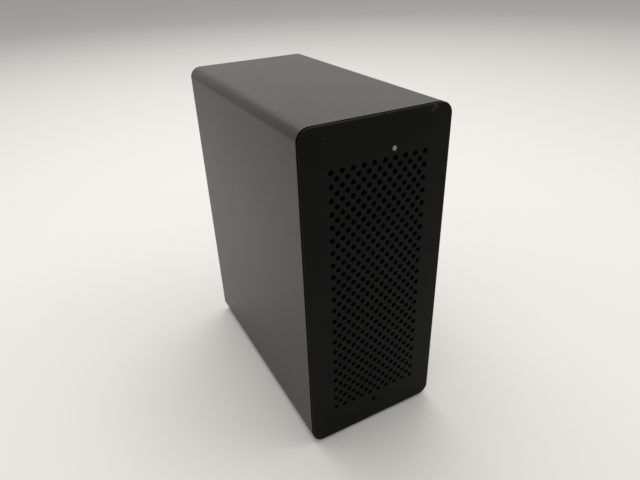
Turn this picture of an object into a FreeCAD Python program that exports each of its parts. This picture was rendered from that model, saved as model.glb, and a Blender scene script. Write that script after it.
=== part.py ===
import FreeCAD, Part
import math
import os

# Desktop enclosure for four solid-state drives, in millimetres.
# +Z is up and the perforated front faces -Y. The origin is on the table, under the middle of the case.

# Case and feet
case_width = 62.0
case_height = 142.0           # the sleeve alone, without its feet
corner_radius = 4.8           # long edges of the sleeve
shell_wall = 2.2
foot_diameter = 10.0
foot_thickness = 1.0
foot_edge_gap = 8.0           # foot's rim to the case's outer faces

# Front panel and its perforated field
panel_thickness = 2.2
panel_edge_round = 0.8
shadow_gap = 0.6              # groove round the panel, where it meets the sleeve
shadow_gap_depth = 0.8
rim_depth = 3.0               # locating rim behind the panel
rim_wall = 1.4
rim_clearance = 0.12
hole_diameter = 2.1
hole_spacing = 4.344          # between the holes of one row
row_spacing = 2.594           # between one row and the next, which is shifted half a hole spacing
field_margin = 15.5           # least distance of the outer rows from the case's top and bottom
field_side = 10.0             # least distance of the outer holes from the case's sides
hole_sides = 6
lone_hole_rows = 2            # single hole under the field, in rows below the last row
light_across = 6.0            # status light to the right of the middle
light_above_field = 3.6       # status light above the top row of holes
light_diameter = 1.9
light_clearance = 0.05
light_collar_diameter = 3.2
light_collar_thickness = 1.0
light_led_gap = 0.4

# Extruded features inside the sleeve
boss_radius = 3.4
boss_edge = 3.4               # screw centre to the sleeve's inner faces
boss_hole_depth = 12.0
guide_height = 3.0
guide_thickness = 1.5
guide_clearance = 0.2

# Rear panel
rear_inset = 1.5              # panel face below the sleeve's rear end
rear_thickness = 1.5
rear_clearance = 0.25
vent_cell = 7.4               # across flats
vent_web = 1.2
vent_rings = 2
tab_depth = 9.0
tab_height = 9.0
cutout_clearance = 0.2

# Screws: shank, head and head height
rear_screw = (3.0, 5.5, 1.3)
rear_screw_length = 8.0
fan_screw_length = 9.0
board_screw = (2.5, 4.5, 1.5)
drive_screw = (2.0, 4.4, 0.8)
drive_screw_length = 2.2
screw_clearance = 0.05        # shank in its threaded hole, on the radius
through_clearance = 0.2       # shank in a plain hole, on the radius

# Main board
board_thickness = 1.6
board_front_gap = 0.5         # behind the front panel's rim
board_rear_gap = 0.5
board_edge_gap = 0.3          # to the floor and ceiling of the sleeve
notch_gap = 1.5               # board cut-out round the fan
led_size = (1.6, 2.5, 3.2)

# Drives and their sockets
drive_length = 80.0
drive_width = 22.0
drive_thickness = 0.8
drive_pitch = 27.0
drive_count = 4
drive_lift = 2.45             # from the board to the drive
drive_insert = 4.0
drive_edge_width = 19.8
drive_key_width = 1.2
drive_key_depth = 3.5
drive_key_offset = 6.1
drive_notch_radius = 1.75
drive_chip_height = 1.1
drive_chips = ((9.0, 10.0, 10.0), (23.0, 14.0, 18.0), (44.0, 14.0, 18.0))   # start, length, width
socket_setback = 0.8
socket_depth = 8.7
socket_width = 21.9
socket_height = 4.2
socket_clearance = 0.1
standoff_flats = 4.6

# Other parts on the board
chip_size = (1.6, 15.0, 15.0)
sink_length = 40.0
sink_width = 37.0
sink_base = 2.0
sink_height = 12.0
sink_fin = 1.4
sink_fins = 8
coil_size = (4.0, 7.0, 7.0)
coil_chamfer = 1.2
coil_count = 3
coil_pitch = 10.0
capacitor_diameter = 6.3
capacitor_height = 5.8
capacitor_count = 2
header_size = (6.0, 5.6, 7.6)
header_wall = 0.8
header_floor = 1.6

# Ports
usb_width = 8.94
usb_thickness = 3.26
usb_length = 8.5
usb_wall = 0.33
usb_depth = 6.4
usb_tongue = (0.7, 5.2, 6.7)
jack_size = (11.0, 12.0, 9.4)
jack_axis_height = 6.3
jack_nose_diameter = 8.6
jack_bore_diameter = 6.4
jack_bore_depth = 9.5
jack_pin_diameter = 2.0
jack_pin_length = 8.5

# Fan
fan_size = 50.0
fan_depth = 15.0
fan_gap = 7.3                 # drive ends to the fan
fan_top_gap = 11.0            # fan to the sleeve's ceiling
fan_corner_radius = 3.0
fan_wall = 1.0
fan_screw_edge = 5.0
fan_base = 2.0
fan_base_radius = 11.5
fan_spokes = 4
fan_spoke_width = 3.0
hub_radius = 12.0
hub_wall = 1.8
hub_face = 1.6
hub_front_gap = 1.0
hub_rear_gap = 0.6
blade_count = 7
blade_tip_gap = 0.7
blade_root_depth = 1.3        # blade sunk into the hub's wall
blade_root_chord = 4.6        # half of the blade's breadth round the hub
blade_tip_chord = 7.2         # the same at the tip, where the blade lies flatter
blade_edge_gap = 1.0
blade_camber = 1.6
blade_thickness = 1.0
blade_edge = 0.4
shaft_diameter = 2.5
shaft_boss_radius = 3.0
shaft_boss_length = 1.5
shaft_end_gap = 0.3
bearing_clearance = 0.03      # shaft in its bearing, on the radius
bearing_wall = 1.6
seat_clearance = 0.02
tube_wall = 1.0
tube_gap = 0.5
stator_height = 7.0
stator_gap = 0.5
stator_slot = 3.0
stator_core = 1.6

# Places worked out from the sizes above
case_bottom = foot_thickness
case_middle = case_bottom + case_height / 2
inner_width = case_width - 2 * shell_wall
inner_height = case_height - 2 * shell_wall
inner_radius = max(corner_radius - shell_wall, 0.2)
inner_bottom = case_bottom + shell_wall
inner_top = inner_bottom + inner_height
drive_overlap = socket_depth - drive_insert
case_depth = (panel_thickness + rim_depth + board_front_gap + socket_setback + drive_overlap
              + drive_length + fan_gap + fan_depth + rear_thickness + rear_inset)
front_y = -case_depth / 2
shell_front = front_y + panel_thickness
shell_back = case_depth / 2
rear_outer = shell_back - rear_inset
rear_inner = rear_outer - rear_thickness
board_front = shell_front + rim_depth + board_front_gap
board_back = rear_inner - board_rear_gap
board_right = light_across - led_size[0] / 2
board_left = board_right - board_thickness
long_rows = int((case_height - 2 * field_margin) / (2 * row_spacing)) + 1
long_row_holes = int((case_width - 2 * field_side) / hole_spacing) + 1
field_rows = 2 * long_rows - 1
field_half = (field_rows - 1) / 2 * row_spacing
light_z = case_middle + field_half + light_above_field
boss_x = inner_width / 2 - boss_edge
boss_z = inner_height / 2 - boss_edge
socket_y = board_front + socket_setback
drive_y = socket_y + drive_overlap
drive_face = board_left - drive_lift
drive_back_face = drive_face - drive_thickness
fan_back = rear_inner
fan_front = fan_back - fan_depth
fan_z = inner_top - fan_top_gap - fan_size / 2
fan_bore = fan_size / 2 - fan_wall
base_front = fan_back - fan_base
hub_front = fan_front + hub_front_gap
hub_back = base_front - hub_rear_gap
hub_inner = hub_radius - hub_wall
boss_back = hub_front + hub_face + shaft_boss_length
tube_front = boss_back + tube_gap
bearing_radius = shaft_diameter / 2 + bearing_clearance + bearing_wall
tube_inner = bearing_radius + seat_clearance
tube_radius = tube_inner + tube_wall
notch_z = fan_z - fan_size / 2 - notch_gap
tab_low = inner_bottom + guide_height + tab_height
tab_high = notch_z - tab_height
rear_step = (tab_high - tab_low) / 4
usb_places = (tab_low + rear_step, tab_low + 2 * rear_step)
jack_z = tab_low + 3 * rear_step
usb_x = board_right + usb_thickness / 2
jack_x = board_right + jack_axis_height


def vector(x, y, z):
    return FreeCAD.Vector(x, y, z)


def box(x0, x1, y0, y1, z0, z1):
    return Part.makeBox(x1 - x0, y1 - y0, z1 - z0, vector(x0, y0, z0))


def rod_y(radius, y0, y1, x, z):
    return Part.makeCylinder(radius, y1 - y0, vector(x, y0, z), vector(0, 1, 0))


def rod_x(radius, x0, x1, y, z):
    return Part.makeCylinder(radius, x1 - x0, vector(x0, y, z), vector(1, 0, 0))


def rounded_wire(width, height, radius, y, middle_x, middle_z):
    """Rounded rectangle that faces along Y."""
    arcs = []
    for side_x, side_z, start in ((1, 1, 0), (-1, 1, 90), (-1, -1, 180), (1, -1, 270)):
        centre = vector(middle_x + side_x * (width / 2 - radius), y,
                        middle_z + side_z * (height / 2 - radius))
        turns = [math.radians(start + part) for part in (0, 45, 90)]
        points = [centre + vector(math.cos(a), 0, math.sin(a)) * radius for a in turns]
        arcs.append(Part.Arc(*points).toShape())
    edges = []
    for arc, following in zip(arcs, arcs[1:] + arcs[:1]):
        edges.append(arc)
        start, end = arc.Vertexes[-1].Point, following.Vertexes[0].Point
        if start.distanceToPoint(end) > 1e-6:
            edges.append(Part.makeLine(start, end))
    return Part.Wire(edges)


def rounded_block(width, height, radius, y0, y1, middle_x, middle_z):
    return Part.Face(rounded_wire(width, height, radius, y0, middle_x, middle_z)).extrude(vector(0, y1 - y0, 0))


def stadium_block(width, height, y0, y1, middle_x, middle_z):
    """Slot with round ends that stands on end, as a receptacle's shell does."""
    radius = width / 2
    straight = height / 2 - radius
    middle = vector(middle_x, y0, middle_z)
    corners = [middle + vector(x * radius, 0, z * straight) for x, z in ((1, -1), (1, 1), (-1, 1), (-1, -1))]
    top = middle + vector(0, 0, straight + radius)
    bottom = middle - vector(0, 0, straight + radius)
    wire = Part.Wire([Part.makeLine(corners[0], corners[1]),
                      Part.Arc(corners[1], top, corners[2]).toShape(),
                      Part.makeLine(corners[2], corners[3]),
                      Part.Arc(corners[3], bottom, corners[0]).toShape()])
    return Part.Face(wire).extrude(vector(0, y1 - y0, 0))


def polygon_wire(radius, sides, centre, across, up):
    """Regular polygon about a centre, in the plane of two unit directions."""
    points = []
    for corner in range(sides + 1):
        turn = 2 * math.pi * (corner % sides) / sides
        points.append(centre + across * (radius * math.cos(turn)) + up * (radius * math.sin(turn)))
    return Part.makePolygon(points)


def cheese(outline, holes, depth):
    """Plate with many through holes, swept from one pierced face."""
    face = Part.Face([outline] + holes)
    return face.extrude(vector(0, depth, 0))


def inner_block(y0, y1, clearance):
    """Prism that fills the sleeve's inside, less a clearance all round."""
    radius = max(inner_radius - clearance, 0.1)
    return rounded_block(inner_width - 2 * clearance, inner_height - 2 * clearance, radius,
                         y0, y1, 0, case_middle)


def screw_y(size, length, x, y, z):
    """Pan-head screw whose head faces +Y and seats at y."""
    shank, head, height = size
    return rod_y(head / 2, y, y + height, x, z).fuse(rod_y(shank / 2, y - length, y, x, z))


def group(solids):
    return Part.makeCompound(solids)


def corner_places(half_x, half_z, middle_z):
    return [(sx * half_x, middle_z + sz * half_z) for sx in (-1, 1) for sz in (-1, 1)]


def make_outer_shell():
    """Extruded sleeve: rounded box tube with four screw bosses and two card guides."""
    sleeve = rounded_block(case_width, case_height, corner_radius, shell_front, shell_back, 0, case_middle)
    sleeve = sleeve.cut(inner_block(shell_front, shell_back, 0))
    y0, y1 = shell_front + rim_depth, rear_inner
    features = []
    for x, z in corner_places(boss_x, boss_z, case_middle):
        features.append(rod_y(boss_radius, y0, y1, x, z))
        wall_x = math.copysign(inner_width / 2, x)
        wall_z = case_middle + math.copysign(inner_height / 2, z - case_middle)
        features.append(box(min(x, wall_x), max(x, wall_x), y0, y1, min(z, wall_z), max(z, wall_z)))
    for z0, z1 in ((inner_bottom, inner_bottom + guide_height), (inner_top - guide_height, inner_top)):
        left, right = board_left - guide_clearance, board_right + guide_clearance
        features.append(box(left - guide_thickness, left, y0, y1, z0, z1))
        features.append(box(right, right + guide_thickness, y0, y1, z0, z1))
    inside = features[0].multiFuse(features[1:]).common(inner_block(y0, y1, 0))
    hole_radius = rear_screw[0] / 2 + screw_clearance
    holes = [rod_y(hole_radius, y1 - boss_hole_depth, y1, x, z)
             for x, z in corner_places(boss_x, boss_z, case_middle)]
    return sleeve.fuse(inside.cut(group(holes))).removeSplitter()


def field_places():
    """Centres of the staggered field: long and short rows in turn, then the single hole below."""
    places = []
    for row in range(field_rows):
        count = long_row_holes - row % 2
        z = case_middle + field_half - row * row_spacing
        for column in range(count):
            places.append(((column - (count - 1) / 2) * hole_spacing, z))
    places.append((0, case_middle - field_half - lone_hole_rows * row_spacing))
    return places


def make_front_panel():
    """Moulded cap: pierced plate with a rounded edge, and a rim that locates in the sleeve."""
    # each many-sided hole has the area of the round one
    sides = hole_sides
    radius = hole_diameter / 2 * math.sqrt(2 * math.pi / (sides * math.sin(2 * math.pi / sides)))
    across, up = vector(1, 0, 0), vector(0, 0, 1)
    holes = [polygon_wire(radius, sides, vector(x, front_y, z), up, across) for x, z in field_places()]
    light_radius = light_diameter / 2 + light_clearance
    light_hole = Part.makeCircle(light_radius, vector(light_across, front_y, light_z), vector(0, 1, 0))
    holes.append(Part.Wire([light_hole]))
    outline = rounded_wire(case_width, case_height, corner_radius, front_y, 0, case_middle)
    plate = cheese(outline, holes, panel_thickness)
    edges = [e for e in plate.Edges if is_outline_edge(e)]
    plate = plate.makeFillet(panel_edge_round, edges).cut(make_shadow_gap())
    rim_back = shell_front + rim_depth
    rim = inner_block(shell_front, rim_back, rim_clearance)
    rim = rim.cut(inner_block(shell_front, rim_back, rim_clearance + rim_wall))
    return plate.fuse(rim)


def make_shadow_gap():
    """Ring that is cut from the panel's rear edge."""
    y0 = shell_front - shadow_gap
    ring = rounded_block(case_width, case_height, corner_radius, y0, shell_front, 0, case_middle)
    depth = shadow_gap_depth
    return ring.cut(rounded_block(case_width - 2 * depth, case_height - 2 * depth, max(corner_radius - depth, 0.2),
                                  y0, shell_front, 0, case_middle))


def is_outline_edge(edge):
    """True for the edges round the front face's outline."""
    bounds = edge.BoundBox
    if bounds.YMax > front_y + 1e-4:
        return False
    reach_x = case_width / 2 - corner_radius - 1e-3
    reach_z = case_height / 2 - corner_radius - 1e-3
    middle = edge.valueAt((edge.FirstParameter + edge.LastParameter) / 2)
    outside_x = abs(middle.x) > reach_x
    outside_z = abs(middle.z - case_middle) > reach_z
    long_side = bounds.XLength > case_width / 2 or bounds.ZLength > case_height / 2
    return (outside_x and outside_z) or long_side


def make_light_pipe():
    """Clear rod from the front face to the light on the board, with a collar behind the panel."""
    rod = rod_y(light_diameter / 2, front_y, board_front - light_led_gap, light_across, light_z)
    collar = rod_y(light_collar_diameter / 2, shell_front, shell_front + light_collar_thickness,
                   light_across, light_z)
    return rod.fuse(collar)


def make_foot(side_x, side_y):
    reach = foot_edge_gap + foot_diameter / 2
    place = vector(side_x * (case_width / 2 - reach), side_y * (case_depth / 2 - reach), 0)
    return Part.makeCylinder(foot_diameter / 2, foot_thickness, place)


def vent_places():
    """Honeycomb centres round the fan's axis."""
    pitch = vent_cell + vent_web
    places = []
    for q in range(-vent_rings, vent_rings + 1):
        for r in range(-vent_rings, vent_rings + 1):
            if abs(q + r) <= vent_rings:
                places.append((pitch * (q + r / 2), fan_z + pitch * r * math.sqrt(3) / 2))
    return places


def fan_screw_places():
    reach = fan_size / 2 - fan_screw_edge
    return corner_places(reach, reach, fan_z)


def make_rear_panel():
    """Folded plate: honeycomb vent, port cut-outs, screw holes and two tabs that hold the board."""
    cell_radius = vent_cell / math.sqrt(3)
    across, up = vector(1, 0, 0), vector(0, 0, 1)
    holes = [polygon_wire(cell_radius, 6, vector(x, rear_inner, z), up, across) for x, z in vent_places()]
    outline = rounded_wire(inner_width - 2 * rear_clearance, inner_height - 2 * rear_clearance,
                           max(inner_radius - rear_clearance, 0.1), rear_inner, 0, case_middle)
    plate = cheese(outline, holes, rear_thickness)
    cuts = []
    for x, z in corner_places(boss_x, boss_z, case_middle) + fan_screw_places():
        cuts.append(rod_y(rear_screw[0] / 2 + through_clearance, rear_inner, rear_outer, x, z))
    for z in usb_places:
        cuts.append(stadium_block(usb_thickness + 2 * cutout_clearance, usb_width + 2 * cutout_clearance,
                                  rear_inner, rear_outer, usb_x, z))
    cuts.append(rod_y(jack_nose_diameter / 2 + cutout_clearance, rear_inner, rear_outer, jack_x, jack_z))
    plate = plate.cut(group(cuts))
    for z in (tab_low, tab_high):
        tab = box(board_left - rear_thickness, board_left, rear_inner - tab_depth, rear_inner,
                  z - tab_height / 2, z + tab_height / 2)
        tab = tab.cut(rod_x(board_screw[0] / 2 + screw_clearance, board_left - rear_thickness, board_left,
                            board_screw_y(), z))
        plate = plate.fuse(tab)
    return plate


def board_screw_y():
    """Board screws stand midway along the part of a tab that the board covers."""
    return (rear_inner - tab_depth + board_back) / 2


def make_rear_screws():
    return group([screw_y(rear_screw, rear_screw_length, x, rear_outer, z)
                  for x, z in corner_places(boss_x, boss_z, case_middle)])


def make_main_board():
    """Upright board that slides in the card guides, cut away for the fan at its upper rear."""
    low, high = inner_bottom + board_edge_gap, inner_top - board_edge_gap
    notch_y = fan_front - notch_gap
    corners = ((board_front, low), (board_back, low), (board_back, notch_z), (notch_y, notch_z),
               (notch_y, high), (board_front, high), (board_front, low))
    outline = Part.makePolygon([vector(board_left, y, z) for y, z in corners])
    board = Part.Face(outline).extrude(vector(board_thickness, 0, 0))
    holes = [rod_x(board_screw[0] / 2 + through_clearance, board_left, board_right, board_screw_y(), z)
             for z in (tab_low, tab_high)]
    return board.cut(group(holes))


def make_board_screws():
    shank, head, height = board_screw
    screws = []
    for z in (tab_low, tab_high):
        y = board_screw_y()
        body = rod_x(shank / 2, board_left - rear_thickness, board_right, y, z)
        screws.append(body.fuse(rod_x(head / 2, board_right, board_right + height, y, z)))
    return group(screws)


def make_status_led():
    thick, deep, tall = led_size
    return box(board_right, board_right + thick, board_front, board_front + deep,
               light_z - tall / 2, light_z + tall / 2)


def drive_z(index):
    return case_middle + ((drive_count - 1) / 2 - index) * drive_pitch


def make_socket(index):
    """Card-edge socket with its slot towards the rear."""
    z = drive_z(index)
    body = box(board_left - socket_height, board_left, socket_y, socket_y + socket_depth,
               z - socket_width / 2, z + socket_width / 2)
    slot_half = drive_edge_width / 2 + socket_clearance
    slot = box(drive_back_face - socket_clearance, drive_face + socket_clearance,
               drive_y - socket_clearance, socket_y + socket_depth, z - slot_half, z + slot_half)
    return body.cut(slot)


def make_drive(index):
    """Drive card: keyed edge, half-round screw notch, and chips on its outer face."""
    z = drive_z(index)
    half, edge = drive_width / 2, drive_edge_width / 2
    shoulder, end = drive_y + drive_insert, drive_y + drive_length
    key0 = drive_key_offset - drive_key_width / 2
    key1 = drive_key_offset + drive_key_width / 2
    key_end = drive_y + drive_key_depth
    before = ((end, -drive_notch_radius), (end, -half), (shoulder, -half), (shoulder, -edge), (drive_y, -edge),
              (drive_y, key0), (key_end, key0), (key_end, key1), (drive_y, key1), (drive_y, edge),
              (shoulder, edge), (shoulder, half), (end, half), (end, drive_notch_radius))
    points = [vector(drive_back_face, y, z + across) for y, across in before]
    notch = Part.Arc(points[-1], vector(drive_back_face, end - drive_notch_radius, z), points[0]).toShape()
    outline = Part.Wire(Part.makePolygon(points).Edges + [notch])
    card = Part.Face(outline).extrude(vector(drive_thickness, 0, 0))
    for start, length, width in drive_chips:
        card = card.fuse(box(drive_back_face - drive_chip_height, drive_back_face, drive_y + start,
                             drive_y + start + length, z - width / 2, z + width / 2))
    return card


def make_standoffs():
    """Six-sided tapped posts that carry the drives' rear ends."""
    posts = []
    for index in range(drive_count):
        centre = vector(drive_face, drive_y + drive_length, drive_z(index))
        wire = polygon_wire(standoff_flats / math.sqrt(3), 6, centre, vector(0, 1, 0), vector(0, 0, 1))
        post = Part.Face(wire).extrude(vector(drive_lift, 0, 0))
        hole = rod_x(drive_screw[0] / 2 + screw_clearance, drive_face, board_left, centre.y, centre.z)
        posts.append(post.cut(hole))
    return group(posts)


def make_drive_screws():
    shank, head, height = drive_screw
    screws = []
    for index in range(drive_count):
        y, z = drive_y + drive_length, drive_z(index)
        body = rod_x(shank / 2, drive_back_face, drive_back_face + drive_screw_length, y, z)
        screws.append(body.fuse(rod_x(head / 2, drive_back_face - height, drive_back_face, y, z)))
    return group(screws)


def sink_middle():
    """The bridge chip and its heat sink stand midway along the board's full-height part."""
    return (board_front + fan_front) / 2, case_middle


def make_bridge_chip():
    thick, deep, tall = chip_size
    y, z = sink_middle()
    return box(board_right, board_right + thick, y - deep / 2, y + deep / 2, z - tall / 2, z + tall / 2)


def make_heat_sink():
    """Extruded fins that lie along the air flow."""
    y, z = sink_middle()
    x0 = board_right + chip_size[0]
    low = z - sink_width / 2
    pitch = (sink_width - sink_fin) / (sink_fins - 1)
    profile = [(x0, low)]
    for fin in range(sink_fins):
        z0 = low + fin * pitch
        profile += [(x0 + sink_height, z0), (x0 + sink_height, z0 + sink_fin)]
        if fin < sink_fins - 1:
            profile += [(x0 + sink_base, z0 + sink_fin), (x0 + sink_base, z0 + pitch)]
    profile += [(x0, low + sink_width), (x0, low)]
    wire = Part.makePolygon([vector(px, y - sink_length / 2, pz) for px, pz in profile])
    return Part.Face(wire).extrude(vector(0, sink_length, 0))


def supply_y():
    """Power parts stand between the jack and the heat sink."""
    return rear_outer - usb_length - 2 * coil_size[1]


def make_power_coils():
    tall, deep, wide = coil_size
    y0, coils = supply_y(), []
    for index in range(coil_count):
        z0 = tab_low + index * coil_pitch
        cut = coil_chamfer
        corners = ((0, cut), (0, wide - cut), (cut, wide), (deep - cut, wide), (deep, wide - cut), (deep, cut),
                   (deep - cut, 0), (cut, 0), (0, cut))
        wire = Part.makePolygon([vector(board_right, y0 + y, z0 + z) for y, z in corners])
        coils.append(Part.Face(wire).extrude(vector(tall, 0, 0)))
    return group(coils)


def make_capacitors():
    z0 = tab_low + coil_count * coil_pitch
    cans = []
    for index in range(capacitor_count):
        place = z0 + capacitor_diameter / 2 + index * coil_pitch
        cans.append(rod_x(capacitor_diameter / 2, board_right, board_right + capacitor_height,
                          supply_y() + coil_size[1] / 2, place))
    return group(cans)


def make_fan_header():
    """Open pin header for the fan's plug."""
    tall, deep, wide = header_size
    y1 = fan_front - 2 * notch_gap
    y0 = y1 - deep
    z0 = fan_z - wide / 2
    body = box(board_right, board_right + tall, y0, y1, z0, z0 + wide)
    pocket = box(board_right + header_floor, board_right + tall, y0 + header_wall, y1 - header_wall,
                 z0 + header_wall, z0 + wide - header_wall)
    return body.cut(pocket)


def make_usb_port(z):
    """Receptacle: thin shell with round ends, closed at the back, and a contact tongue."""
    y0 = rear_outer - usb_length
    shell = stadium_block(usb_thickness, usb_width, y0, rear_outer, usb_x, z)
    bore = stadium_block(usb_thickness - 2 * usb_wall, usb_width - 2 * usb_wall,
                         rear_outer - usb_depth, rear_outer, usb_x, z)
    thick, deep, wide = usb_tongue
    tongue = box(usb_x - thick / 2, usb_x + thick / 2, rear_outer - usb_depth, rear_outer - usb_depth + deep,
                 z - wide / 2, z + wide / 2)
    return shell.cut(bore).fuse(tongue)


def make_dc_jack():
    """Power jack: body on the board, round nose in the rear panel, bore and centre pin."""
    tall, deep, wide = jack_size
    body = box(board_right, board_right + tall, rear_inner - deep, rear_inner, jack_z - wide / 2, jack_z + wide / 2)
    body = body.fuse(rod_y(jack_nose_diameter / 2, rear_inner, rear_outer, jack_x, jack_z))
    bottom = rear_outer - jack_bore_depth
    body = body.cut(rod_y(jack_bore_diameter / 2, bottom, rear_outer, jack_x, jack_z))
    return body.fuse(rod_y(jack_pin_diameter / 2, bottom, bottom + jack_pin_length, jack_x, jack_z))


def make_fan_frame():
    """Square frame with a round duct, a motor base on spokes, and the bearing tube."""
    frame = rounded_block(fan_size, fan_size, fan_corner_radius, fan_front, fan_back, 0, fan_z)
    cuts = [rod_y(fan_bore, fan_front, fan_back, 0, fan_z)]
    for x, z in fan_screw_places():
        cuts.append(rod_y(rear_screw[0] / 2 + screw_clearance, fan_front, fan_back, x, z))
    frame = frame.cut(group(cuts))
    pieces = [rod_y(fan_base_radius, base_front, fan_back, 0, fan_z),
              rod_y(tube_radius, tube_front, fan_back, 0, fan_z)]
    axis_point = vector(0, 0, fan_z)
    for index in range(fan_spokes):
        spoke = box(fan_base_radius / 2, fan_bore + fan_wall / 2, base_front, fan_back,
                    fan_z - fan_spoke_width / 2, fan_z + fan_spoke_width / 2)
        spoke.rotate(axis_point, vector(0, 1, 0), 360 * index / fan_spokes)
        pieces.append(spoke)
    frame = frame.multiFuse(pieces)
    return frame.cut(rod_y(tube_inner, tube_front, base_front, 0, fan_z)).removeSplitter()


def make_fan_bearing():
    sleeve = rod_y(bearing_radius, tube_front, base_front, 0, fan_z)
    return sleeve.cut(rod_y(shaft_diameter / 2 + bearing_clearance, tube_front, base_front, 0, fan_z))


def make_fan_stator():
    """Four-pole core round the bearing tube."""
    y0 = base_front - stator_height
    outer = hub_inner - stator_gap
    inner = tube_radius + seat_clearance
    core = rod_y(outer, y0, base_front, 0, fan_z).cut(rod_y(inner, y0, base_front, 0, fan_z))
    for turn in (45, 135, 225, 315):
        slot = box(inner + stator_core, outer + stator_gap, y0, base_front,
                   fan_z - stator_slot / 2, fan_z + stator_slot / 2)
        slot.rotate(vector(0, 0, fan_z), vector(0, 1, 0), turn)
        core = core.cut(slot)
    return core


def blade_section(z, half_chord):
    """Cambered section of a blade at one height above the fan's axis."""
    y0, y1 = hub_front + blade_edge_gap, hub_back - blade_edge_gap
    middle = vector(0, (y0 + y1) / 2, z)
    chord = vector(half_chord, (y1 - y0) / 2, 0)
    rise = vector(-chord.y, chord.x, 0)
    rise.normalize()
    lead, trail = middle - chord, middle + chord
    lead_back, trail_back = lead + rise * blade_edge, trail + rise * blade_edge
    crest = middle + rise * blade_camber
    crest_back = crest + rise * blade_thickness
    return Part.Wire([Part.Arc(lead, crest, trail).toShape(), Part.makeLine(trail, trail_back),
                      Part.Arc(trail_back, crest_back, lead_back).toShape(), Part.makeLine(lead_back, lead)])


def make_blade():
    """One twisted blade, pointing up from the hub: steep at its root and flatter at its tip."""
    root = blade_section(fan_z + hub_radius - blade_root_depth, blade_root_chord)
    tip = blade_section(fan_z + fan_bore, blade_tip_chord)
    return Part.makeLoft([root, tip], True, True)


def make_fan_impeller():
    """Hub cup, open to the rear, with a ring of cambered blades trimmed to the duct."""
    hub = rod_y(hub_radius, hub_front, hub_back, 0, fan_z)
    hub = hub.cut(rod_y(hub_inner, hub_front + hub_face, hub_back, 0, fan_z))
    hub = hub.fuse(rod_y(shaft_boss_radius, hub_front + hub_face, boss_back, 0, fan_z))
    tip = rod_y(fan_bore - blade_tip_gap, hub_front, hub_back, 0, fan_z)
    blades = []
    for index in range(blade_count):
        blade = make_blade().common(tip)
        blade.rotate(vector(0, 0, fan_z), vector(0, 1, 0), 360 * index / blade_count)
        blades.append(blade)
    hole = rod_y(shaft_diameter / 2 + seat_clearance, hub_front, boss_back, 0, fan_z)
    return hub.multiFuse(blades).cut(hole)


def make_fan_shaft():
    return rod_y(shaft_diameter / 2, hub_front, base_front - shaft_end_gap, 0, fan_z)


def make_fan_screws():
    return group([screw_y(rear_screw, fan_screw_length, x, rear_outer, z) for x, z in fan_screw_places()])


def make_all():
    pieces = {"outer_shell": make_outer_shell(), "front_panel": make_front_panel(), "light_pipe": make_light_pipe()}
    for name, side_x, side_y in (("front_left", -1, -1), ("front_right", 1, -1),
                                 ("rear_left", -1, 1), ("rear_right", 1, 1)):
        pieces["foot_" + name] = make_foot(side_x, side_y)
    pieces["rear_panel"] = make_rear_panel()
    pieces["rear_screws"] = make_rear_screws()
    pieces["main_board"] = make_main_board()
    pieces["board_screws"] = make_board_screws()
    pieces["status_led"] = make_status_led()
    for index in range(drive_count):
        pieces["drive_socket_%d" % (index + 1)] = make_socket(index)
        pieces["drive_%d" % (index + 1)] = make_drive(index)
    pieces["drive_standoffs"] = make_standoffs()
    pieces["drive_screws"] = make_drive_screws()
    pieces["bridge_chip"] = make_bridge_chip()
    pieces["heat_sink"] = make_heat_sink()
    pieces["power_coils"] = make_power_coils()
    pieces["capacitors"] = make_capacitors()
    pieces["fan_header"] = make_fan_header()
    for index, z in enumerate(usb_places):
        pieces["usb_port_%d" % (index + 1)] = make_usb_port(z)
    pieces["dc_jack"] = make_dc_jack()
    pieces["fan_frame"] = make_fan_frame()
    pieces["fan_bearing"] = make_fan_bearing()
    pieces["fan_stator"] = make_fan_stator()
    pieces["fan_impeller"] = make_fan_impeller()
    pieces["fan_shaft"] = make_fan_shaft()
    pieces["fan_screws"] = make_fan_screws()
    return pieces


os.makedirs("parts", exist_ok=True)
for name, shape in make_all().items():
    shape.exportStep("parts/%s.step" % name)
    print(name, "valid" if shape.isValid() else "NOT VALID", len(shape.Solids), round(shape.Volume, 2))
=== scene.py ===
import math

import bmesh
import bpy
from mathutils import Matrix, Vector


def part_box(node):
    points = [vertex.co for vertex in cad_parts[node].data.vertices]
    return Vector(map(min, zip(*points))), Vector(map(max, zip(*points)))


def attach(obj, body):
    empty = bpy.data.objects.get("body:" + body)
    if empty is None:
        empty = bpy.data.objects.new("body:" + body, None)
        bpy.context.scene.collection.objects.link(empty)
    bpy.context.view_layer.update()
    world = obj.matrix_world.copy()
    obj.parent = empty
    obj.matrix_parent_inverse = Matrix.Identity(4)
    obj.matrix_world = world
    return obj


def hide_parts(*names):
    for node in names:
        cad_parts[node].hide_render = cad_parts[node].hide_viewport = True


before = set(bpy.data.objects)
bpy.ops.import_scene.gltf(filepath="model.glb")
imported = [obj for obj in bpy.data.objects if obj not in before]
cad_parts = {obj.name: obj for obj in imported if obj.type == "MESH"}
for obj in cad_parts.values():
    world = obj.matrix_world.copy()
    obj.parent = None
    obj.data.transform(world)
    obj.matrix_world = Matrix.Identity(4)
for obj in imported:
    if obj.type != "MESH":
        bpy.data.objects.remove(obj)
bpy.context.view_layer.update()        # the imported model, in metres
mm = 0.001
tiny, weld = 1e-7, 1e-6        # closer than this is one place, in new meshes and in packed ones
portNodes = ["usb_port_1", "usb_port_2"]
driveNodes = ["drive_1", "drive_2", "drive_3", "drive_4"]
print("frame loaded with", len(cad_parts), "nodes")


# Mesh tools

def spanOf(node):        # lowest and highest corner of a node
    low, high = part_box(node)
    return Vector(low), Vector(high)


def middleOf(node):
    low, high = spanOf(node)
    return (low + high) / 2


def cornersOf(node, inset):        # four places in x and z, set in from a node's box
    low, high = spanOf(node)
    return [(x, z) for x in (low.x + inset, high.x - inset) for z in (low.z + inset, high.z - inset)]


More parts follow.
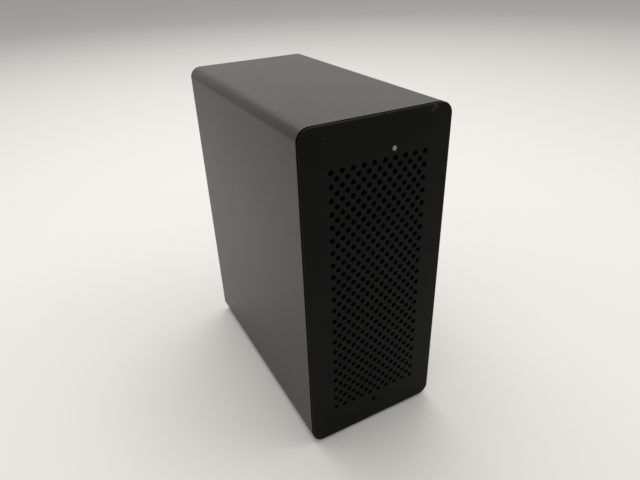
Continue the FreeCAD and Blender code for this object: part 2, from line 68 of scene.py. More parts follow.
def aim(origin, direction):        # takes a shape that stands on +Z to its place
    turn = Vector(direction).to_track_quat("Z", "Y").to_matrix().to_4x4()
    return Matrix.Translation(origin) @ turn


def vertsIn(geom):
    return [item for item in geom if isinstance(item, bmesh.types.BMVert)]


def edgesIn(geom):
    return [item for item in geom if isinstance(item, bmesh.types.BMEdge)]


def paintAll(bm, index):        # material slot of every face
    for face in bm.faces:
        face.material_index = index
    return bm


def quarterTurn(steps):        # angles from 0 to 90 degrees
    return [math.pi / 2 * step / steps for step in range(steps + 1)]


def evenSteps(start, pitch, count):        # places in a row
    return [start + pitch * step for step in range(count)]


def centredSteps(middle, pitch, count):        # a row about its middle
    return evenSteps(middle - pitch * (count - 1) / 2, pitch, count)


def roundedShoulder(radius, height, soft, steps):        # profile from a side up to a flat end
    return [(radius - soft * (1 - math.cos(turn)), height - soft * (1 - math.sin(turn)))
            for turn in quarterTurn(steps)]


def shift(bm, x, y, z):
    bmesh.ops.translate(bm, vec=(x, y, z), verts=bm.verts[:])


def faceOutward(bm):
    bmesh.ops.recalc_face_normals(bm, faces=bm.faces[:])


def roundEdges(bm, edges, soft, segments=2):
    bmesh.ops.bevel(bm, geom=edges, offset=soft, offset_type="OFFSET", segments=segments, profile=0.5,
                    affect="EDGES", material=-1)


def stamp(bm, pattern, places=None):        # copies a small mesh to one or many places
    mesh = bpy.data.meshes.new("stamp")
    pattern.to_mesh(mesh)
    pattern.free()
    for place in places or [Matrix.Identity(4)]:
        mesh.transform(place)
        bm.from_mesh(mesh)
        mesh.transform(place.inverted())
    bpy.data.meshes.remove(mesh)


def barPattern(corner, opposite, soft=0.0, segments=2, index=0):        # box between two corners
    bm = bmesh.new()
    bmesh.ops.create_cube(bm, size=1)
    corner, opposite = Vector(corner), Vector(opposite)
    bmesh.ops.scale(bm, vec=[abs(reach) for reach in opposite - corner], verts=bm.verts[:])
    shift(bm, *(corner + opposite) / 2)
    if soft:
        roundEdges(bm, bm.edges[:], soft, segments)
    return paintAll(bm, index)


def turnedPattern(profile, segments=32, index=0):        # radius and height pairs, spun about +Z
    bm = bmesh.new()
    verts = [bm.verts.new((radius, 0, height)) for radius, height in profile]
    edges = [bm.edges.new(pair) for pair in zip(verts, verts[1:])]
    bmesh.ops.spin(bm, geom=verts + edges, cent=(0, 0, 0), axis=(0, 0, 1), dvec=(0, 0, 0),
                   angle=2 * math.pi, steps=segments, use_merge=True, use_duplicate=False)
    bmesh.ops.remove_doubles(bm, verts=bm.verts[:], dist=tiny)
    faceOutward(bm)
    return paintAll(bm, index)


def roundedBlock(width, depth, height, radius, corners=12):        # x by y by z, its front at y 0
    bm = bmesh.new()
    bmesh.ops.create_grid(bm, x_segments=1, y_segments=1, size=0.5)
    bmesh.ops.scale(bm, vec=(width, height, 1), verts=bm.verts[:])
    bmesh.ops.bevel(bm, geom=bm.verts[:], offset=radius, offset_type="OFFSET", segments=corners,
                    profile=0.5, affect="VERTICES", material=-1)
    bmesh.ops.rotate(bm, matrix=Matrix.Rotation(math.pi / 2, 3, "X"), verts=bm.verts[:])
    made = bmesh.ops.extrude_face_region(bm, geom=bm.faces[:])["geom"]
    bmesh.ops.translate(bm, vec=(0, depth, 0), verts=vertsIn(made))
    faceOutward(bm)
    return bm


def edgesAt(bm, y):        # edges that lie in the plane y
    return [edge for edge in bm.edges if all(abs(vert.co.y - y) < tiny for vert in edge.verts)]


def faceAt(bm, y):        # the flat end in the plane y
    return next(face for face in bm.faces if all(abs(vert.co.y - y) < tiny for vert in face.verts))


def openEnds(bm):        # takes off the two flat ends, so that holes can be let in
    ends = [face for face in bm.faces if len(face.verts) > 4 and abs(face.normal.y) > 0.99]
    bmesh.ops.delete(bm, geom=ends, context="FACES_ONLY")


def fillPlane(bm, y, facing):        # fills between the open edges in the plane y
    edges = [edge for edge in edgesAt(bm, y) if edge.is_boundary]
    bmesh.ops.triangle_fill(bm, use_beauty=True, use_dissolve=False, edges=edges, normal=(0, facing, 0))


def closeEnds(bm, depth):        # fills both ends round every hole
    fillPlane(bm, 0, -1)
    fillPlane(bm, depth, 1)
    faceOutward(bm)


def holePattern(radius, depth, rim, segments=24, stretch=0.0, turn=0.0, back=True):        # one hole's wall
    bm = bmesh.new()
    facing = Matrix.Rotation(math.pi / 2, 4, "X") @ Matrix.Rotation(turn, 4, "Z")
    bmesh.ops.create_circle(bm, cap_ends=False, segments=segments, radius=radius + rim, matrix=facing)
    edges, lastSize, lastY = bm.edges[:], radius + rim, 0
    rings = [(radius, depth - rim), (radius + rim, depth)] if back else [(radius, depth)]
    for size, y in [(radius, rim)] + rings:        # the rim is softened, at the back too if asked
        made = bmesh.ops.extrude_edge_only(bm, edges=edges)["geom"]
        scale = size / lastSize
        bmesh.ops.scale(bm, vec=(scale, 1, scale), verts=vertsIn(made))
        bmesh.ops.translate(bm, vec=(0, y - lastY, 0), verts=vertsIn(made))
        edges, lastSize, lastY = edgesIn(made), size, y
    for side in (-1, 1):        # a stretched hole is a slot with round ends
        half = [vert for vert in bm.verts if vert.co.z * side > 0]
        bmesh.ops.translate(bm, vec=(0, 0, side * stretch / 2), verts=half)
    return bm


def pierce(bm, pattern, places, middle):        # lets a hole into a plate at places in x and z
    stamp(bm, pattern, [Matrix.Translation((x - middle.x, 0, z - middle.z)) for x, z in places])


def copyOf(node):        # merged copy of a CAD node's mesh, its flat faces made whole
    bm = bmesh.new()
    bm.from_mesh(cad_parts[node].data)
    bmesh.ops.remove_doubles(bm, verts=bm.verts[:], dist=weld)
    bmesh.ops.dissolve_limit(bm, angle_limit=math.radians(0.4), use_dissolve_boundaries=False,
                             verts=bm.verts[:], edges=bm.edges[:])
    return paintAll(bm, 0)


def finishPiece(name, bm, looks, body, nodes, sharp=40):
    mesh = bpy.data.meshes.new(name)
    bm.to_mesh(mesh)
    bm.free()
    for look in looks:
        mesh.materials.append(look)
    mesh.shade_smooth()
    mesh.set_sharp_from_angle(angle=math.radians(sharp))
    piece = bpy.data.objects.new(name, mesh)
    bpy.context.scene.collection.objects.link(piece)
    piece.modifiers.new("faceWeights", "WEIGHTED_NORMAL").keep_sharp = True
    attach(piece, body)
    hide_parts(*nodes)


# Material tools

def newLook(name, colour, metallic=0.0, roughness=0.5, specular=0.5):
    look = bpy.data.materials.new(name)
    look.use_nodes = True
    shader = look.node_tree.nodes["Principled BSDF"]
    shader.inputs["Base Color"].default_value = (*colour, 1)
    shader.inputs["Metallic"].default_value = metallic
    shader.inputs["Roughness"].default_value = roughness
    shader.inputs["Specular IOR Level"].default_value = specular
    return look, shader


def addNode(look, kind, settings=None, **values):
    node = look.node_tree.nodes.new(kind)
    for name, value in values.items():
        setattr(node, name, value)
    for name, value in (settings or {}).items():
        node.inputs[name].default_value = value
    return node


def wire(look, output, target):
    look.node_tree.links.new(output, target)


def objectPlace(look, scale=(1, 1, 1)):
    place = addNode(look, "ShaderNodeTexCoord").outputs["Object"]
    mapping = addNode(look, "ShaderNodeMapping", {"Scale": scale})
    wire(look, place, mapping.inputs["Vector"])
    return mapping.outputs["Vector"]


def noiseOn(look, place, scale, detail=2.0, roughness=0.5):
    node = addNode(look, "ShaderNodeTexNoise", {"Scale": scale, "Detail": detail, "Roughness": roughness})
    wire(look, place, node.inputs["Vector"])
    return node.outputs["Fac"]


def rampOn(look, factor, start, end):        # each a place and a colour
    node = addNode(look, "ShaderNodeValToRGB")
    for stop, (at, colour) in zip(node.color_ramp.elements, (start, end)):
        stop.position, stop.color = at, (*colour, 1)
    wire(look, factor, node.inputs["Fac"])
    return node.outputs["Color"]


def shadesOn(look, factor, colour, dark, pale, start=0.3, end=0.7):        # one colour, darker to paler
    shades = [tuple(part * level for part in colour) for level in (dark, pale)]
    return rampOn(look, factor, (start, shades[0]), (end, shades[1]))


def rangeOn(look, factor, low, high, start=0.0, end=1.0):
    node = addNode(look, "ShaderNodeMapRange",
                   {"From Min": start, "From Max": end, "To Min": low, "To Max": high})
    wire(look, factor, node.inputs["Value"])
    return node.outputs["Result"]


def mathOn(look, operation, first, second):
    node = addNode(look, "ShaderNodeMath", operation=operation)
    for index, value in enumerate((first, second)):
        if isinstance(value, (int, float)):
            node.inputs[index].default_value = value
        else:
            wire(look, value, node.inputs[index])
    return node.outputs["Value"]


def blendOn(look, first, second, share):        # two values, the second with this share
    return mathOn(look, "ADD", mathOn(look, "MULTIPLY", first, 1 - share),
                  mathOn(look, "MULTIPLY", second, share))


def mixOn(look, factor, first, second):        # two colours, each a socket or three numbers
    node = addNode(look, "ShaderNodeMix", data_type="RGBA")
    wire(look, factor, node.inputs["Factor"])
    for name, value in (("A", first), ("B", second)):
        target = next(item for item in node.inputs if item.name == name and item.type == "RGBA")
        if isinstance(value, tuple):
            target.default_value = (*value, 1)
        else:
            wire(look, value, target)
    return next(item for item in node.outputs if item.type == "RGBA")


def bumpOn(look, shader, height, strength, distance):
    node = addNode(look, "ShaderNodeBump", {"Strength": strength, "Distance": distance})
    wire(look, height, node.inputs["Height"])
    wire(look, node.outputs["Normal"], shader.inputs["Normal"])


def nearSpot(look, place, spot, reach):        # 1 at a spot, 0 beyond its reach
    node = addNode(look, "ShaderNodeVectorMath", operation="DISTANCE")
    wire(look, place, node.inputs[0])
    node.inputs[1].default_value = spot
    return rangeOn(look, node.outputs["Value"], 1, 0, 0, reach)


def applyGrain(look, shader, surface, grain, gloss, relief):        # colour, uneven gloss and fine relief
    wire(look, surface, shader.inputs["Base Color"])
    wire(look, rangeOn(look, grain, *gloss, start=0.3, end=0.7), shader.inputs["Roughness"])
    bumpOn(look, shader, grain, *relief)


def blastedAnodising(name, colour):        # bead-blasted metal under a dyed oxide layer
    look, shader = newLook(name, colour, metallic=0.88, roughness=0.42)
    place = objectPlace(look)
    grain = noiseOn(look, place, scale=2600, roughness=0.65)
    tone = blendOn(look, noiseOn(look, place, scale=22, detail=3), grain, share=0.55)
    surface = shadesOn(look, tone, colour, dark=0.86, pale=1.14, start=0.32, end=0.68)
    applyGrain(look, shader, surface, grain, gloss=(0.37, 0.48), relief=(0.22, 0.03 * mm))
    return look


def texturedMoulding(name, colour, roughness=0.5, specular=0.4, grainScale=2200, marks=()):
    look, shader = newLook(name, colour, roughness=roughness, specular=specular)
    place = objectPlace(look)
    grain = noiseOn(look, place, grainScale, roughness=0.6)
    tone = blendOn(look, noiseOn(look, place, scale=35), grain, share=0.5)
    surface = shadesOn(look, tone, colour, dark=0.75, pale=1.25)
    for spot, reach, markColour, strength in marks:        # small scuffs and dust
        patchy = rangeOn(look, noiseOn(look, place, scale=900, detail=3), 0, strength, start=0.35, end=0.65)
        near = mathOn(look, "MULTIPLY", nearSpot(look, place, spot, reach), patchy)
        surface = mixOn(look, near, surface, markColour)
    gloss = (roughness - 0.06, roughness + 0.06)
    applyGrain(look, shader, surface, grain, gloss, relief=(0.3, 0.03 * mm))
    return look


def plainMetal(name, colour, roughness, metallic=1.0, grainScale=(1500, 1500, 1500)):        # drawn or plated
    look, shader = newLook(name, colour, metallic=metallic, roughness=roughness)
    grain = noiseOn(look, objectPlace(look, grainScale), scale=1, detail=3, roughness=0.6)
    surface = shadesOn(look, grain, colour, dark=0.88, pale=1.10)
    gloss = (roughness - 0.05, roughness + 0.07)
    applyGrain(look, shader, surface, grain, gloss, relief=(0.12, 0.02 * mm))
    return look


def solderMask(name, mask, copper):        # lacquered laminate with tracks that show through
    look, shader = newLook(name, mask, roughness=0.36)
    place = objectPlace(look)
    reach = []
    for feature in ("F1", "F2"):
        node = addNode(look, "ShaderNodeTexVoronoi", {"Scale": 230, "Randomness": 0.8},
                       distance="MANHATTAN", feature=feature)
        wire(look, place, node.inputs["Vector"])
        reach.append(node.outputs["Distance"])
    between = mathOn(look, "SUBTRACT", reach[1], reach[0])
    track = rangeOn(look, between, 1, 0, start=0.05, end=0.09)
    wire(look, mixOn(look, track, mask, copper), shader.inputs["Base Color"])
    bumpOn(look, shader, track, strength=0.35, distance=0.03 * mm)
    return look


def frostedClear(name, colour):        # clear rod with a ground end
    look, shader = newLook(name, colour, roughness=0.45)
    grain = noiseOn(look, objectPlace(look), scale=1500, detail=3, roughness=0.6)
    wire(look, shadesOn(look, grain, colour, dark=0.87, pale=1.13), shader.inputs["Base Color"])
    shader.inputs["Transmission Weight"].default_value = 0.25
    bumpOn(look, shader, grain, strength=0.2, distance=0.02 * mm)
    return look


# Finishes that several pieces share

chipResin = texturedMoulding("chipResin", (0.013, 0.013, 0.014), roughness=0.55, specular=0.35,
                             grainScale=2600)
partCeramic = texturedMoulding("partCeramic", (0.20, 0.13, 0.075))
cutLaminate = texturedMoulding("cutLaminate", (0.20, 0.17, 0.085), roughness=0.65, specular=0.3,
                               grainScale=1600)
tinPlate = plainMetal("tinPlate", (0.62, 0.60, 0.56), roughness=0.32)
contactGold = plainMetal("contactGold", (0.83, 0.60, 0.22), roughness=0.3)


# Sleeve: extruded rounded tube with screw bosses and card guides inside

sleeveSpec = {"wall": 2.2 * mm, "corner": 4.8 * mm, "cornerSteps": 14, "endSoft": 0.15 * mm,
              "bossRadius": 3.4 * mm, "bossEdge": 3.4 * mm, "bossHole": 1.55 * mm, "bossDepth": 12 * mm,
              "bossSteps": 28, "webClear": 0.3 * mm, "webBack": 0.05 * mm, "pocket": 3.0 * mm,
              "guideHeight": 3.0 * mm, "guideThick": 1.5 * mm, "guideClear": 0.2 * mm, "guideSoft": 0.2 * mm,
              "bedded": 0.3 * mm, "colour": (0.067, 0.0664, 0.0630)}


def addBosses(bm, spec, y0, y1, halfWidth, halfHeight, middleZ):
    radius, hole, bedded = spec["bossRadius"], spec["bossHole"], spec["bedded"]
    clear, back = hole + spec["webClear"], spec["webBack"]
    length = y1 - y0
    floor = length - spec["bossDepth"]
    profile = [(0, 0), (radius, 0), (radius, length), (hole, length), (hole, floor), (0, floor)]
    places = []
    for sideX in (-1, 1):
        for sideZ in (-1, 1):
            x = sideX * (halfWidth - spec["bossEdge"])
            z = middleZ + sideZ * (halfHeight - spec["bossEdge"])
            places.append(aim((x, y0, z), (0, 1, 0)))
            wallX, wallZ = sideX * (halfWidth + bedded), middleZ + sideZ * (halfHeight + bedded)
            # two webs fill the corner and leave the screw hole free
            for inset, startX, startZ in ((back, clear, 0), (2 * back, 0, clear)):
                stamp(bm, barPattern((x + sideX * startX, y0 + inset, z + sideZ * startZ),
                                     (wallX, y1 - inset, wallZ)))
    stamp(bm, turnedPattern(profile, spec["bossSteps"]), places)


def addGuides(bm, spec, y0, y1, halfHeight, middleZ):
    boardLow, boardHigh = spanOf("main_board")
    thick = spec["guideThick"]
    for x in (boardLow.x - spec["guideClear"] - thick, boardHigh.x + spec["guideClear"]):
        for side in (-1, 1):
            root = middleZ + side * (halfHeight + spec["bedded"])
            tip = middleZ + side * (halfHeight - spec["guideHeight"])
            stamp(bm, barPattern((x, y0, root), (x + thick, y1, tip), spec["guideSoft"]))


def buildSleeve(spec):
    low, high = spanOf("outer_shell")
    width, depth, height = high - low
    middle = (low + high) / 2
    inWidth, inHeight = width - 2 * spec["wall"], height - 2 * spec["wall"]
    bm = roundedBlock(width, depth, height, spec["corner"], spec["cornerSteps"])
    for y in (0, depth):
        roundEdges(bm, edgesAt(bm, y), spec["endSoft"], 2)
    openEnds(bm)
    duct = roundedBlock(inWidth, depth, inHeight, spec["corner"] - spec["wall"], spec["cornerSteps"])
    openEnds(duct)
    stamp(bm, duct)
    closeEnds(bm, depth)
    shift(bm, 0, low.y, middle.z)
    y0, y1 = low.y + spec["pocket"], high.y - spec["pocket"]
    addBosses(bm, spec, y0, y1, inWidth / 2, inHeight / 2, middle.z)
    addGuides(bm, spec, y0, y1, inHeight / 2, middle.z)
    look = blastedAnodising("darkAnodising", spec["colour"])
    finishPiece("sleeve", bm, [look], "case", ["outer_shell"])


# Front cap: plate with a staggered field of round holes, a groove behind its edge and a locating rim

capSpec = {"plate": 2.2 * mm, "corner": 4.8 * mm, "cornerSteps": 14, "edgeRound": 0.8 * mm, "edgeSteps": 3,
           "gap": 1.0 * mm, "gapDepth": 1.1 * mm, "rimWall": 1.4 * mm, "rimGap": 2.32 * mm,
           "hole": 1.05 * mm, "holeRim": 0.10 * mm, "holeSteps": 20, "holeTurn": 0.11,
           "lensHole": 1.0 * mm, "lensRim": 0.05 * mm,
           "holeSpacing": 4.344 * mm, "rowSpacing": 2.594 * mm, "rows": 43, "longRow": 10, "loneRows": 2,
           "face": {"colour": (0.0050, 0.0056, 0.0048), "roughness": 0.44, "specular": 0.06},
           # edge: lighter than the face, a painted highlight on the rounded edge; side: darker than the face,
           # painted shade on the cap's sides
           "edge": {"colour": (0.0058, 0.0062, 0.0055), "roughness": 0.36, "specular": 0.055},
           "side": {"colour": (0.0042, 0.0045, 0.0040), "roughness": 0.7, "specular": 0.0}}
scuffColour, dustColour = (0.05, 0.06, 0.075), (0.06, 0.06, 0.06)
capMarks = [{"x": 21.8 * mm, "down": 1.7 * mm, "reach": 1.1 * mm, "colour": scuffColour, "strength": 0.9},
            {"x": 23.1 * mm, "down": 1.0 * mm, "reach": 1.1 * mm, "colour": scuffColour, "strength": 0.8},
            {"x": -21.6 * mm, "down": 4.4 * mm, "reach": 0.45 * mm, "colour": dustColour, "strength": 0.8}]


def fieldPlaces(spec):        # centres of the holes about the middle of the plate
    places = []
    for row, z in enumerate(centredSteps(0, -spec["rowSpacing"], spec["rows"])):
        count = spec["longRow"] - row % 2
        places += [(x, z) for x in centredSteps(0, spec["holeSpacing"], count)]
    places.append((0, z - spec["loneRows"] * spec["rowSpacing"]))
    return places


def buildCap(spec):
    low, high = spanOf("front_panel")
    lens = middleOf("light_pipe")
    middle = (low + high) / 2
    width, height, plate = high.x - low.x, high.z - low.z, spec["plate"]

    def outline(inset, depth):        # the cap's outline, set in all round and open at both ends
        block = roundedBlock(width - 2 * inset, depth, height - 2 * inset, spec["corner"] - inset,
                             spec["cornerSteps"])
        if not inset:
            roundEdges(block, edgesAt(block, 0), spec["edgeRound"], spec["edgeSteps"])
        openEnds(block)
        return block

    front = plate - spec["gap"]
    bm = outline(0, front)
    for face in bm.faces:        # the rounded edge gets a lighter copy of the black, a painted highlight with a smoother gloss; the sides get a darker copy, painted shade
        face.material_index = 1 if face.normal.y < -0.1 else 2
    stamp(bm, paintAll(outline(spec["gapDepth"], spec["gap"]), 2), [Matrix.Translation((0, front, 0))])
    fillPlane(bm, front, 1)        # back of the edge, beside the groove
    steps, turn = spec["holeSteps"], spec["holeTurn"]        # turned, so that no two rows' points line up
    hole = holePattern(spec["hole"], plate, spec["holeRim"], steps, turn=turn, back=False)
    pierce(bm, hole, fieldPlaces(spec), Vector())
    lensHole = holePattern(spec["lensHole"], plate, spec["lensRim"], steps, back=False)
    pierce(bm, lensHole, [(lens.x, lens.z)], middle)
    closeEnds(bm, plate)
    rimDepth = high.y - low.y - plate
    rim = outline(spec["rimGap"], rimDepth)
    stamp(rim, outline(spec["rimGap"] + spec["rimWall"], rimDepth))
    closeEnds(rim, rimDepth)
    stamp(bm, rim, [Matrix.Translation((0, plate, 0))])
    shift(bm, 0, low.y, middle.z)
    marks = [((mark["x"], low.y, high.z - mark["down"]), mark["reach"], mark["colour"], mark["strength"])
             for mark in capMarks]
    # the face's black, a lighter copy as a painted highlight on the rounded edge, and a darker copy as
    # painted shade on the sides
    looks = [texturedMoulding("blackMoulding", **spec["face"], marks=marks),
             texturedMoulding("blackEdgePaintedHighlight", **spec["edge"], marks=marks),
             texturedMoulding("blackSidePaintedShade", **spec["side"])]
    finishPiece("front_cap", bm, looks, "case", ["front_panel"])


# Status light: clear rod with a collar and a slightly domed, frosted end

lensSpec = {"radius": 0.95 * mm, "dome": 0.12 * mm, "domeSteps": 5, "steps": 28, "collar": 1.6 * mm,
            "collarStart": 2.2 * mm, "collarEnd": 3.2 * mm, "colour": (0.282, 0.292, 0.305)}


def buildLens(spec):
    low, high = spanOf("light_pipe")
    middle, length = (low + high) / 2, high.y - low.y
    radius, collar, start, end = (spec[name] for name in ("radius", "collar", "collarStart", "collarEnd"))
    profile = [(radius * math.sin(turn), spec["dome"] * (1 - math.cos(turn)))
               for turn in quarterTurn(spec["domeSteps"])]
    profile += [(radius, start), (collar, start), (collar, end), (radius, end), (radius, length), (0, length)]
    bm = turnedPattern(profile, spec["steps"])
    bmesh.ops.transform(bm, matrix=aim((middle.x, low.y, middle.z), (0, 1, 0)), verts=bm.verts[:])
    look = frostedClear("frostedClear", spec["colour"])
    finishPiece("status_lens", bm, [look], "case", ["light_pipe"])


# Feet: moulded rubber pads with a rounded rim and a shallow dish underneath

footSpec = {"radius": 5.0 * mm, "thick": 1.0 * mm, "round": 0.35 * mm, "roundSteps": 4, "steps": 40,
            "dish": 3.6 * mm, "dishSlope": 0.3 * mm, "dishDepth": 0.2 * mm, "colour": (0.018, 0.018, 0.018)}


def buildFeet(spec):
    rubber = texturedMoulding("footRubber", spec["colour"], roughness=0.75, specular=0.3, grainScale=1800)
    radius, thick, soft, dish = (spec[name] for name in ("radius", "thick", "round", "dish"))
    profile = [(0, spec["dishDepth"]), (dish - spec["dishSlope"], spec["dishDepth"]), (dish, 0)]
    profile += [(radius - soft * (1 - math.sin(turn)), soft * (1 - math.cos(turn)))
                for turn in quarterTurn(spec["roundSteps"])]
    profile += [(radius, thick), (0, thick)]
    for corner in ("front_left", "front_right", "rear_left", "rear_right"):
        middle = middleOf("foot_" + corner)
        bm = turnedPattern(profile, spec["steps"])
        shift(bm, middle.x, middle.y, 0)
        finishPiece("pad_" + corner, bm, [rubber], "case", ["foot_" + corner])


buildSleeve(sleeveSpec)
buildCap(capSpec)
buildLens(lensSpec)
buildFeet(footSpec)
print("case built")


# Screws: pan heads with a cross recess, and ringed threads

rearScrew = {"head": 2.75 * mm, "height": 1.3 * mm, "shank": 1.5 * mm, "length": 8.0 * mm, "pitch": 0.5 * mm}
fanScrew = {"head": 2.75 * mm, "height": 1.3 * mm, "shank": 1.5 * mm, "length": 9.0 * mm, "pitch": 0.5 * mm}
boardScrew = {"head": 2.25 * mm, "height": 1.5 * mm, "shank": 1.25 * mm, "length": 3.1 * mm,
              "pitch": 0.45 * mm}
driveScrew = {"head": 2.2 * mm, "height": 0.8 * mm, "shank": 1.0 * mm, "length": 2.2 * mm, "pitch": 0.4 * mm}
# shares of a screw's own sizes, then counts
screwShape = {"dome": 0.45, "recess": 0.62, "recessFloor": 0.35, "recessTaper": 0.8, "crest": 0.6,
              "root": 0.86, "tip": 0.75, "lobeRoot": 0.36, "lobes": 4, "domeSteps": 5, "steps": 40}


def screwPattern(spec, shape=screwShape):        # stands on +Z with its head's seat at 0
    head, height, shank = spec["head"], spec["height"], spec["shank"]
    pitch, length = spec["pitch"], spec["length"]
    dome, recess, floor = shape["dome"] * height, shape["recess"] * head, shape["recessFloor"] * height
    profile = [(0, floor), (shape["recessTaper"] * recess, floor), (recess, height)]
    profile += reversed(roundedShoulder(head, height, dome, shape["domeSteps"]))
    profile += [(head, 0), (shank, 0)]
    crest, root = shape["crest"] * pitch, shape["root"] * shank
    for z in evenSteps(-pitch, -pitch, int(length / pitch) - 1):        # the thread's rings
        profile += [(shank, z + crest), (root, z + crest / 2), (shank, z)]
    bm = turnedPattern(profile + [(shape["tip"] * shank, -length), (0, -length)], shape["steps"])
    for vert in bm.verts:        # lobes make a cross of the recess
        reach = math.hypot(vert.co.x, vert.co.y)
        if 0 < reach < recess + tiny and vert.co.z > floor - tiny:
            wave = max(0, math.cos(shape["lobes"] * math.atan2(vert.co.y, vert.co.x))) ** 2
            lobe = shape["lobeRoot"] + (1 - shape["lobeRoot"]) * wave
            vert.co.x, vert.co.y = vert.co.x * lobe, vert.co.y * lobe
    return bm


def boardScrewHeights():
    low, high = spanOf("board_screws")
    return low.z + boardScrew["head"], high.z - boardScrew["head"]


def buildScrews():
    blackSteel = plainMetal("blackSteel", (0.03, 0.03, 0.032), roughness=0.42, metallic=0.85)
    nickel = plainMetal("nickelSteel", (0.46, 0.45, 0.43), roughness=0.3)
    rearFace = spanOf("rear_panel")[1].y
    for node, spec in (("rear_screws", rearScrew), ("fan_screws", fanScrew)):
        bm = bmesh.new()
        places = [aim((x, rearFace, z), (0, 1, 0)) for x, z in cornersOf(node, spec["head"])]
        stamp(bm, screwPattern(spec), places)
        finishPiece(node + "_turned", bm, [blackSteel], "tray", [node])
    face, y = spanOf("main_board")[1].x, middleOf("board_screws").y
    bm = bmesh.new()
    stamp(bm, screwPattern(boardScrew), [aim((face, y, z), (1, 0, 0)) for z in boardScrewHeights()])
    finishPiece("board_screws_turned", bm, [nickel], "tray", ["board_screws"])
    seat = spanOf("drive_screws")[0].x + driveScrew["height"]
    places = [aim((seat, spanOf(node)[1].y, middleOf(node).z), (-1, 0, 0)) for node in driveNodes]
    bm = bmesh.new()
    stamp(bm, screwPattern(driveScrew), places)
    finishPiece("drive_screws_turned", bm, [nickel], "tray", ["drive_screws"])


# Ports: two stadium-shaped receptacles and a round power jack

portSpec = {"wall": 0.33 * mm, "depth": 6.4 * mm, "roundShare": 0.497, "roundSteps": 10, "bedded": 0.1 * mm,
            "tongueThick": 0.7 * mm, "tongueLength": 5.2 * mm, "tongueWidth": 6.7 * mm,
            "tongueSoft": 0.12 * mm, "contacts": 12, "contactPitch": 0.5 * mm, "contactWidth": 0.25 * mm,
            "contactLift": 0.03 * mm, "contactSlot": 2, "contactEnd": 0.8 * mm,
            "shellColour": (0.52, 0.51, 0.49), "tongueColour": (0.012, 0.012, 0.012)}
jackSpec = {"axisHeight": 6.3 * mm, "corner": 0.3 * mm, "cornerSteps": 3, "edgeSoft": 0.2 * mm,
            "nose": 4.3 * mm, "noseLength": 1.5 * mm, "noseSteps": 48, "mouthSoft": 0.25 * mm,
            "bore": 3.2 * mm, "boreDepth": 9.5 * mm, "pin": 1.0 * mm, "pinLength": 8.5 * mm,
            "pinPoint": 0.5 * mm, "pinTip": 0.5, "pinSteps": 24, "bedded": 0.1 * mm,
            "bodyColour": (0.014, 0.014, 0.014), "pinColour": (0.60, 0.58, 0.54)}


def portSpan(node):        # width and height of the mouth
    low, high = spanOf(node)
    return high.x - low.x, high.z - low.z


def jackAxis():
    low, high = spanOf("dc_jack")
    return low.x + jackSpec["axisHeight"], (low.z + high.z) / 2


def contactRow(bm, spec, x, y0, y1, z):        # thin contacts on one face, in a row about the height z
    lift, half = spec["contactLift"], spec["contactWidth"] / 2
    heights = centredSteps(z, spec["contactPitch"], spec["contacts"])
    contact = barPattern((x - lift, y0, -half), (x + lift, y1, half), index=spec["contactSlot"])
    stamp(bm, contact, [Matrix.Translation((0, 0, height)) for height in heights])


def buildPorts(spec):
    looks = [plainMetal("portSteel", spec["shellColour"], roughness=0.28),
             texturedMoulding("portTongue", spec["tongueColour"]), contactGold]
    for node in portNodes:
        low, high = spanOf(node)
        middle, depth = (low + high) / 2, high.y - low.y
        across, tall = portSpan(node)
        bm = roundedBlock(across, depth, tall, spec["roundShare"] * across, spec["roundSteps"])
        mouth = faceAt(bm, depth)
        bmesh.ops.inset_region(bm, faces=[mouth], thickness=spec["wall"], use_even_offset=True)
        made = bmesh.ops.extrude_face_region(bm, geom=[mouth])["geom"]
        bmesh.ops.translate(bm, vec=(0, -spec["depth"], 0), verts=vertsIn(made))
        bmesh.ops.delete(bm, geom=[mouth], context="FACES_ONLY")
        faceOutward(bm)
        floor, half, wide = depth - spec["depth"], spec["tongueThick"] / 2, spec["tongueWidth"] / 2
        end = floor + spec["tongueLength"]
        stamp(bm, barPattern((-half, floor - spec["bedded"], -wide), (half, end, wide),
                             spec["tongueSoft"], index=1))
        for x in (-half, half):
            contactRow(bm, spec, x, floor, end - spec["contactEnd"], 0)
        shift(bm, middle.x, low.y, middle.z)
        finishPiece(node + "_shell", bm, looks, "tray", [node])


def buildJack(spec):
    low, high = spanOf("dc_jack")
    middle = (low + high) / 2
    axisX, axisZ = jackAxis()
    depth = high.y - low.y - spec["noseLength"]
    bm = roundedBlock(high.x - low.x, depth, high.z - low.z, spec["corner"], spec["cornerSteps"])
    roundEdges(bm, edgesAt(bm, 0), spec["edgeSoft"])
    bmesh.ops.delete(bm, geom=[faceAt(bm, depth)], context="FACES_ONLY")
    nose, bore, tip, soft = spec["nose"], spec["bore"], depth + spec["noseLength"], spec["mouthSoft"]
    floor = tip - spec["boreDepth"]
    profile = [(nose, depth), (nose, tip - soft), (nose - soft, tip), (bore + soft, tip), (bore, tip - soft),
               (bore, floor), (0, floor)]
    aside = axisX - middle.x
    stamp(bm, turnedPattern(profile, spec["noseSteps"]), [aim((aside, 0, 0), (0, 1, 0))])
    fillPlane(bm, depth, 1)
    faceOutward(bm)
    pin, length, root = spec["pin"], spec["pinLength"], -spec["bedded"]
    profile = [(0, root), (pin, root), (pin, length - spec["pinPoint"]), (spec["pinTip"] * pin, length),
               (0, length)]
    stamp(bm, turnedPattern(profile, spec["pinSteps"], 1), [aim((aside, floor, 0), (0, 1, 0))])
    shift(bm, middle.x, low.y, axisZ)
    looks = [texturedMoulding("jackResin", spec["bodyColour"], roughness=0.45),
             plainMetal("jackPin", spec["pinColour"], roughness=0.25)]
    finishPiece("dc_jack_moulded", bm, looks, "tray", ["dc_jack"])


# Rear panel: plate with a honeycomb vent, port cut-outs and two tabs that carry the board

